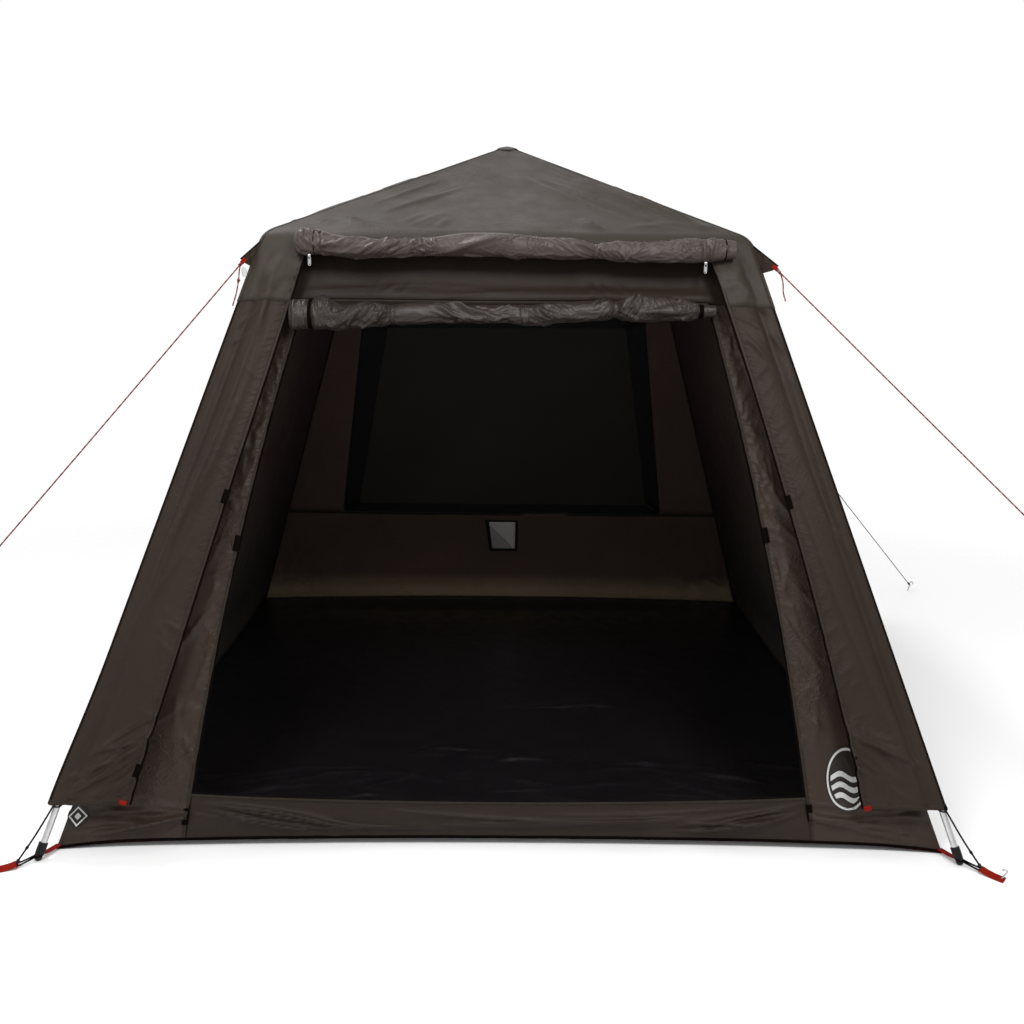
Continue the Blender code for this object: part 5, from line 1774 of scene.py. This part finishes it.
# Loose tails of the guy lines on each hand: distance away from the tent, aside and up from the knot
TAIL_SWING = {
    -1: [(0, 0, 0), (0.003, 0, -0.012), (0.007, 0.002, -0.040), (0.014, 0.001, -0.075), (0.026, 0, -0.112)],
    1: [(0, 0, 0), (0.008, 0, -0.010), (0.014, 0.002, -0.034), (0.016, 0.001, -0.056), (0.024, 0, -0.080)],
}


def build_guy(corner, tip):
    """Loop on the flap, a cord with its runner and knots, and the peg that holds it."""
    peg = np.array((*GUY_PEGS[corner], 0.0))
    away = unit((peg - tip) * np.array((1, 1, 0)))
    aside = np.array((-away[1], away[0], 0.0))
    peg_top = peg + away * PEG_LEAN + up_by(PEG_HEIGHT)
    hook = [peg, lerp(peg, peg_top, 0.5), peg_top - away * 0.002, peg_top + away * 0.006 + up_by(0.005),
            peg_top + away * 0.015 + up_by(0.001), peg_top + away * PEG_HOOK - up_by(0.011)]
    steel_wire("guy_peg_" + corner, curve_through(hook, 40), PEG_RADIUS)
    tie = lerp(peg, peg_top, PEG_TIE / PEG_HEIGHT)
    toward = unit(tie - tip)
    loop_end = tip + toward * 0.006
    half_loop = [(tip - toward * 0.010, 0.0022), (tip, 0.0024), (loop_end, 0.0016)]
    flat = [point + aside * half for point, half in half_loop] + [loop_end + toward * 0.002]
    flat += [point - aside * half for point, half in half_loop[::-1]]
    path = curve_through(flat, 40)
    outs = unit(np.cross(np.gradient(path, axis=0), np.cross(toward, aside)))
    sew(webbing("guy_loop_" + corner, path, outs, 0.011, 0.0010), "flysheet_roof")
    start, end = loop_end + toward * 0.001, tie - toward * 0.004
    share = np.linspace(0, 1, 90)[:, None]
    line = lerp(start, end, share) - up_by(0.006) * np.sin(math.pi * share)

    def cord(name, middle):
        # Rear lines take the darker copy of the cord: painted shade.
        item = tube(name + corner, middle, GUY_RADIUS, GUY_CORD if CORNERS[corner][1] < 0 else SHADED_GUY_CORD)
        return item

    def knot(name, centre, turns, radius):
        a = np.linspace(0, turns * math.tau, int(turns * 16) + 1)
        first = unit(np.cross(toward, (0, 0, 1.0)))
        second = np.cross(first, toward)
        cord(name, centre + first * (radius * np.cos(a))[:, None] + second * (radius * np.sin(a))[:, None]
             + toward * ((a / math.tau - turns / 2) * 2.3 * GUY_RADIUS)[:, None])
    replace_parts(cord("guy_cord_", line), "guy_line_" + corner)
    knot("guy_knot_", start + toward * 0.006, 3, GUY_RADIUS * 1.6)
    knot("peg_knot_", end - toward * 0.010, 2.5, GUY_RADIUS * 1.6)
    first = unit(np.cross(unit(peg_top - peg), aside))
    cord("peg_loop_", ring(tie, first * 0.0052, aside * 0.0052, 25))
    tail_start = start + toward * 0.006 - up_by(0.003)
    swing = TAIL_SWING[CORNERS[corner][0]]
    tail = curve_through([tail_start + away * a + aside * b + up_by(c) for a, b, c in swing], 26)
    cord("guy_tail_", tail)
    if CORNERS[corner][0] < 0:
        hang = np.stack([np.linspace(0.002, 0.004, 12), np.zeros(12), np.linspace(-0.004, -0.030, 12)], -1)
        width = 0.006 + 0.009 * np.sin(np.linspace(0.35, 2.8, 12))
        runner = strip("guy_runner_" + corner, tail[0] - away * 0.008 + hang, (0, CORNERS[corner][1], 0),
                       width, 0.0040, WHITE_PLASTIC)
        knot("tail_knot_", tail[9], 2, GUY_RADIUS * 1.7)


# Camera, light and floor

def build_camera():
    ahead = Vector((math.sin(YAW), math.cos(YAW), 0))
    right = Vector((math.cos(YAW), -math.sin(YAW), 0))
    up = Vector((0, 0, 1))
    look = ahead * math.cos(PITCH) - up * math.sin(PITCH)
    top = ahead * math.sin(PITCH) + up * math.cos(PITCH)
    side = right * math.cos(ROLL) + top * math.sin(ROLL)
    head = -right * math.sin(ROLL) + top * math.cos(ROLL)
    lens = bpy.data.cameras.new("camera")
    lens.sensor_width = 36
    lens.lens = LENS_PX / IMAGE_PX * lens.sensor_width
    camera = bpy.data.objects.new("camera", lens)
    rows = [(side[k], head[k], -look[k], EYE[k]) for k in range(3)]
    camera.matrix_world = Matrix((*rows, (0, 0, 0, 1)))
    bpy.context.scene.collection.objects.link(camera)
    bpy.context.scene.camera = camera


def add_light(name, place, target, size, power):
    lamp = bpy.data.lights.new(name, "AREA")
    lamp.shape = "RECTANGLE"
    lamp.size = lamp.size_y = size
    lamp.energy = power
    item = bpy.data.objects.new(name, lamp)
    item.location = place
    item.rotation_euler = (Vector(target) - Vector(place)).to_track_quat("-Z", "Y").to_euler()
    bpy.context.scene.collection.objects.link(item)


def build_stage():
    """Lamps, a white surround, and a floor that fades out round the tent."""
    scene = bpy.context.scene
    scene.view_settings.view_transform = "Standard"
    world = bpy.data.worlds.new("studio")
    world.use_nodes = True
    sky = Nodes(world.node_tree, world.node_tree.nodes["Background"])
    sky.shader.inputs["Color"].default_value = (1.0, 1.0, 1.0, 1.0)
    seen = add_node(sky, "ShaderNodeLightPath").outputs["Is Camera Ray"]
    finish_with(sky, Strength=spread(sky, seen, 0.0, 1.0, WORLD_LIGHT, 1.0))
    scene.world = world
    for name, lamp in LAMPS.items():
        add_light(name, *lamp)
    material, nodes = new_material("studio_floor", 0.9, 0.1)
    nodes.shader.inputs["Base Color"].default_value = (0.92, 0.92, 0.92, 1.0)
    fade = spread(nodes, length_of(nodes, place_in(nodes, "Object")), 2.3, 4.2)
    shown, clear = nodes.shader.outputs["BSDF"], add_node(nodes, "ShaderNodeBsdfTransparent").outputs["BSDF"]
    blend = add_node(nodes, "ShaderNodeMixShader", [("Fac", fade), (1, shown), (2, clear)])
    nodes.tree.links.new(blend.outputs["Shader"], nodes.tree.nodes["Material Output"].inputs["Surface"])
    reach = 12.0
    mesh = bpy.data.meshes.new("studio_floor")
    mesh.from_pydata([(-reach, -reach, 0), (reach, -reach, 0), (reach, reach, 0), (-reach, reach, 0)], [],
                     [(0, 1, 2, 3)])
    mesh.materials.append(material)
    floor = bpy.data.objects.new("studio_floor", mesh)
    scene.collection.objects.link(floor)


def finish_solids():
    """Materials for the solids that stay as they are."""
    finishes = {"leg_": SILVER, "roof_pole_": SILVER, "hub": BLACK_PLASTIC}
    for name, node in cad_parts.items():
        for start, material in finishes.items():
            if name.startswith(start):
                node.data.materials.clear()
                node.data.materials.append(material)


build_camera()
build_stage()
finish_solids()
hip_lines = build_roof()
for wall in ("left", "right", "rear"):
    build_fly_wall(wall)
for hand_sign in HANDS:
    build_fly_corner(hand_sign)
    build_flange(hand_sign)
build_sill()
build_header()
build_cabin()
build_rear_trim()
build_inner_roof()
build_floor()
build_roll("rolled_fly_door", "fly_door_roll", FLY_ROLL, ROLL_CLOTH)
build_roll("rolled_inner_door", "inner_door_roll", INNER_ROLL, DOOR_CLOTH)
build_roll_ties(FLY_ROLL, "flysheet_roof", "fly_tie",
                [(-0.535, 0.020, ROLL_CLOTH), (0.252, 0.009, ROLL_CLOTH), (0.558, 0.008, ROLL_CLOTH),
                 (0.620, 0.003, BLACK_TAPE), (-0.5475, 0.0026, BLACK_TAPE)])
build_roll_ties(INNER_ROLL, "inner_tent_header", "door_tie",
                [(-0.559, 0.014, BLACK_TAPE), (-0.327, 0.009, DOOR_CLOTH), (0.312, 0.008, DOOR_CLOTH),
                 (0.558, 0.016, BLACK_TAPE)])
build_tie_point()
zip_pull(-1, (-0.562, -0.752, 1.585))
zip_pull(1, (0.565, -0.752, 1.578))
build_fly_trim(hip_lines)
build_inner_trim()
build_keepers()
build_print("badge_print_right", 1, (0.944, 0.186), (0.118, 0.172), BADGE_PRINT)
build_print("mark_print_left", -1, (-1.146, 0.080), (0.056, 0.056), MARK_PRINT)
flap_tips = build_tabs(hip_lines)
for corner_name in CORNERS:
    foot_place = build_foot(corner_name)
    build_elbow(corner_name)
    build_corner_strap(corner_name, foot_place)
    build_guy(corner_name, flap_tips[corner_name])
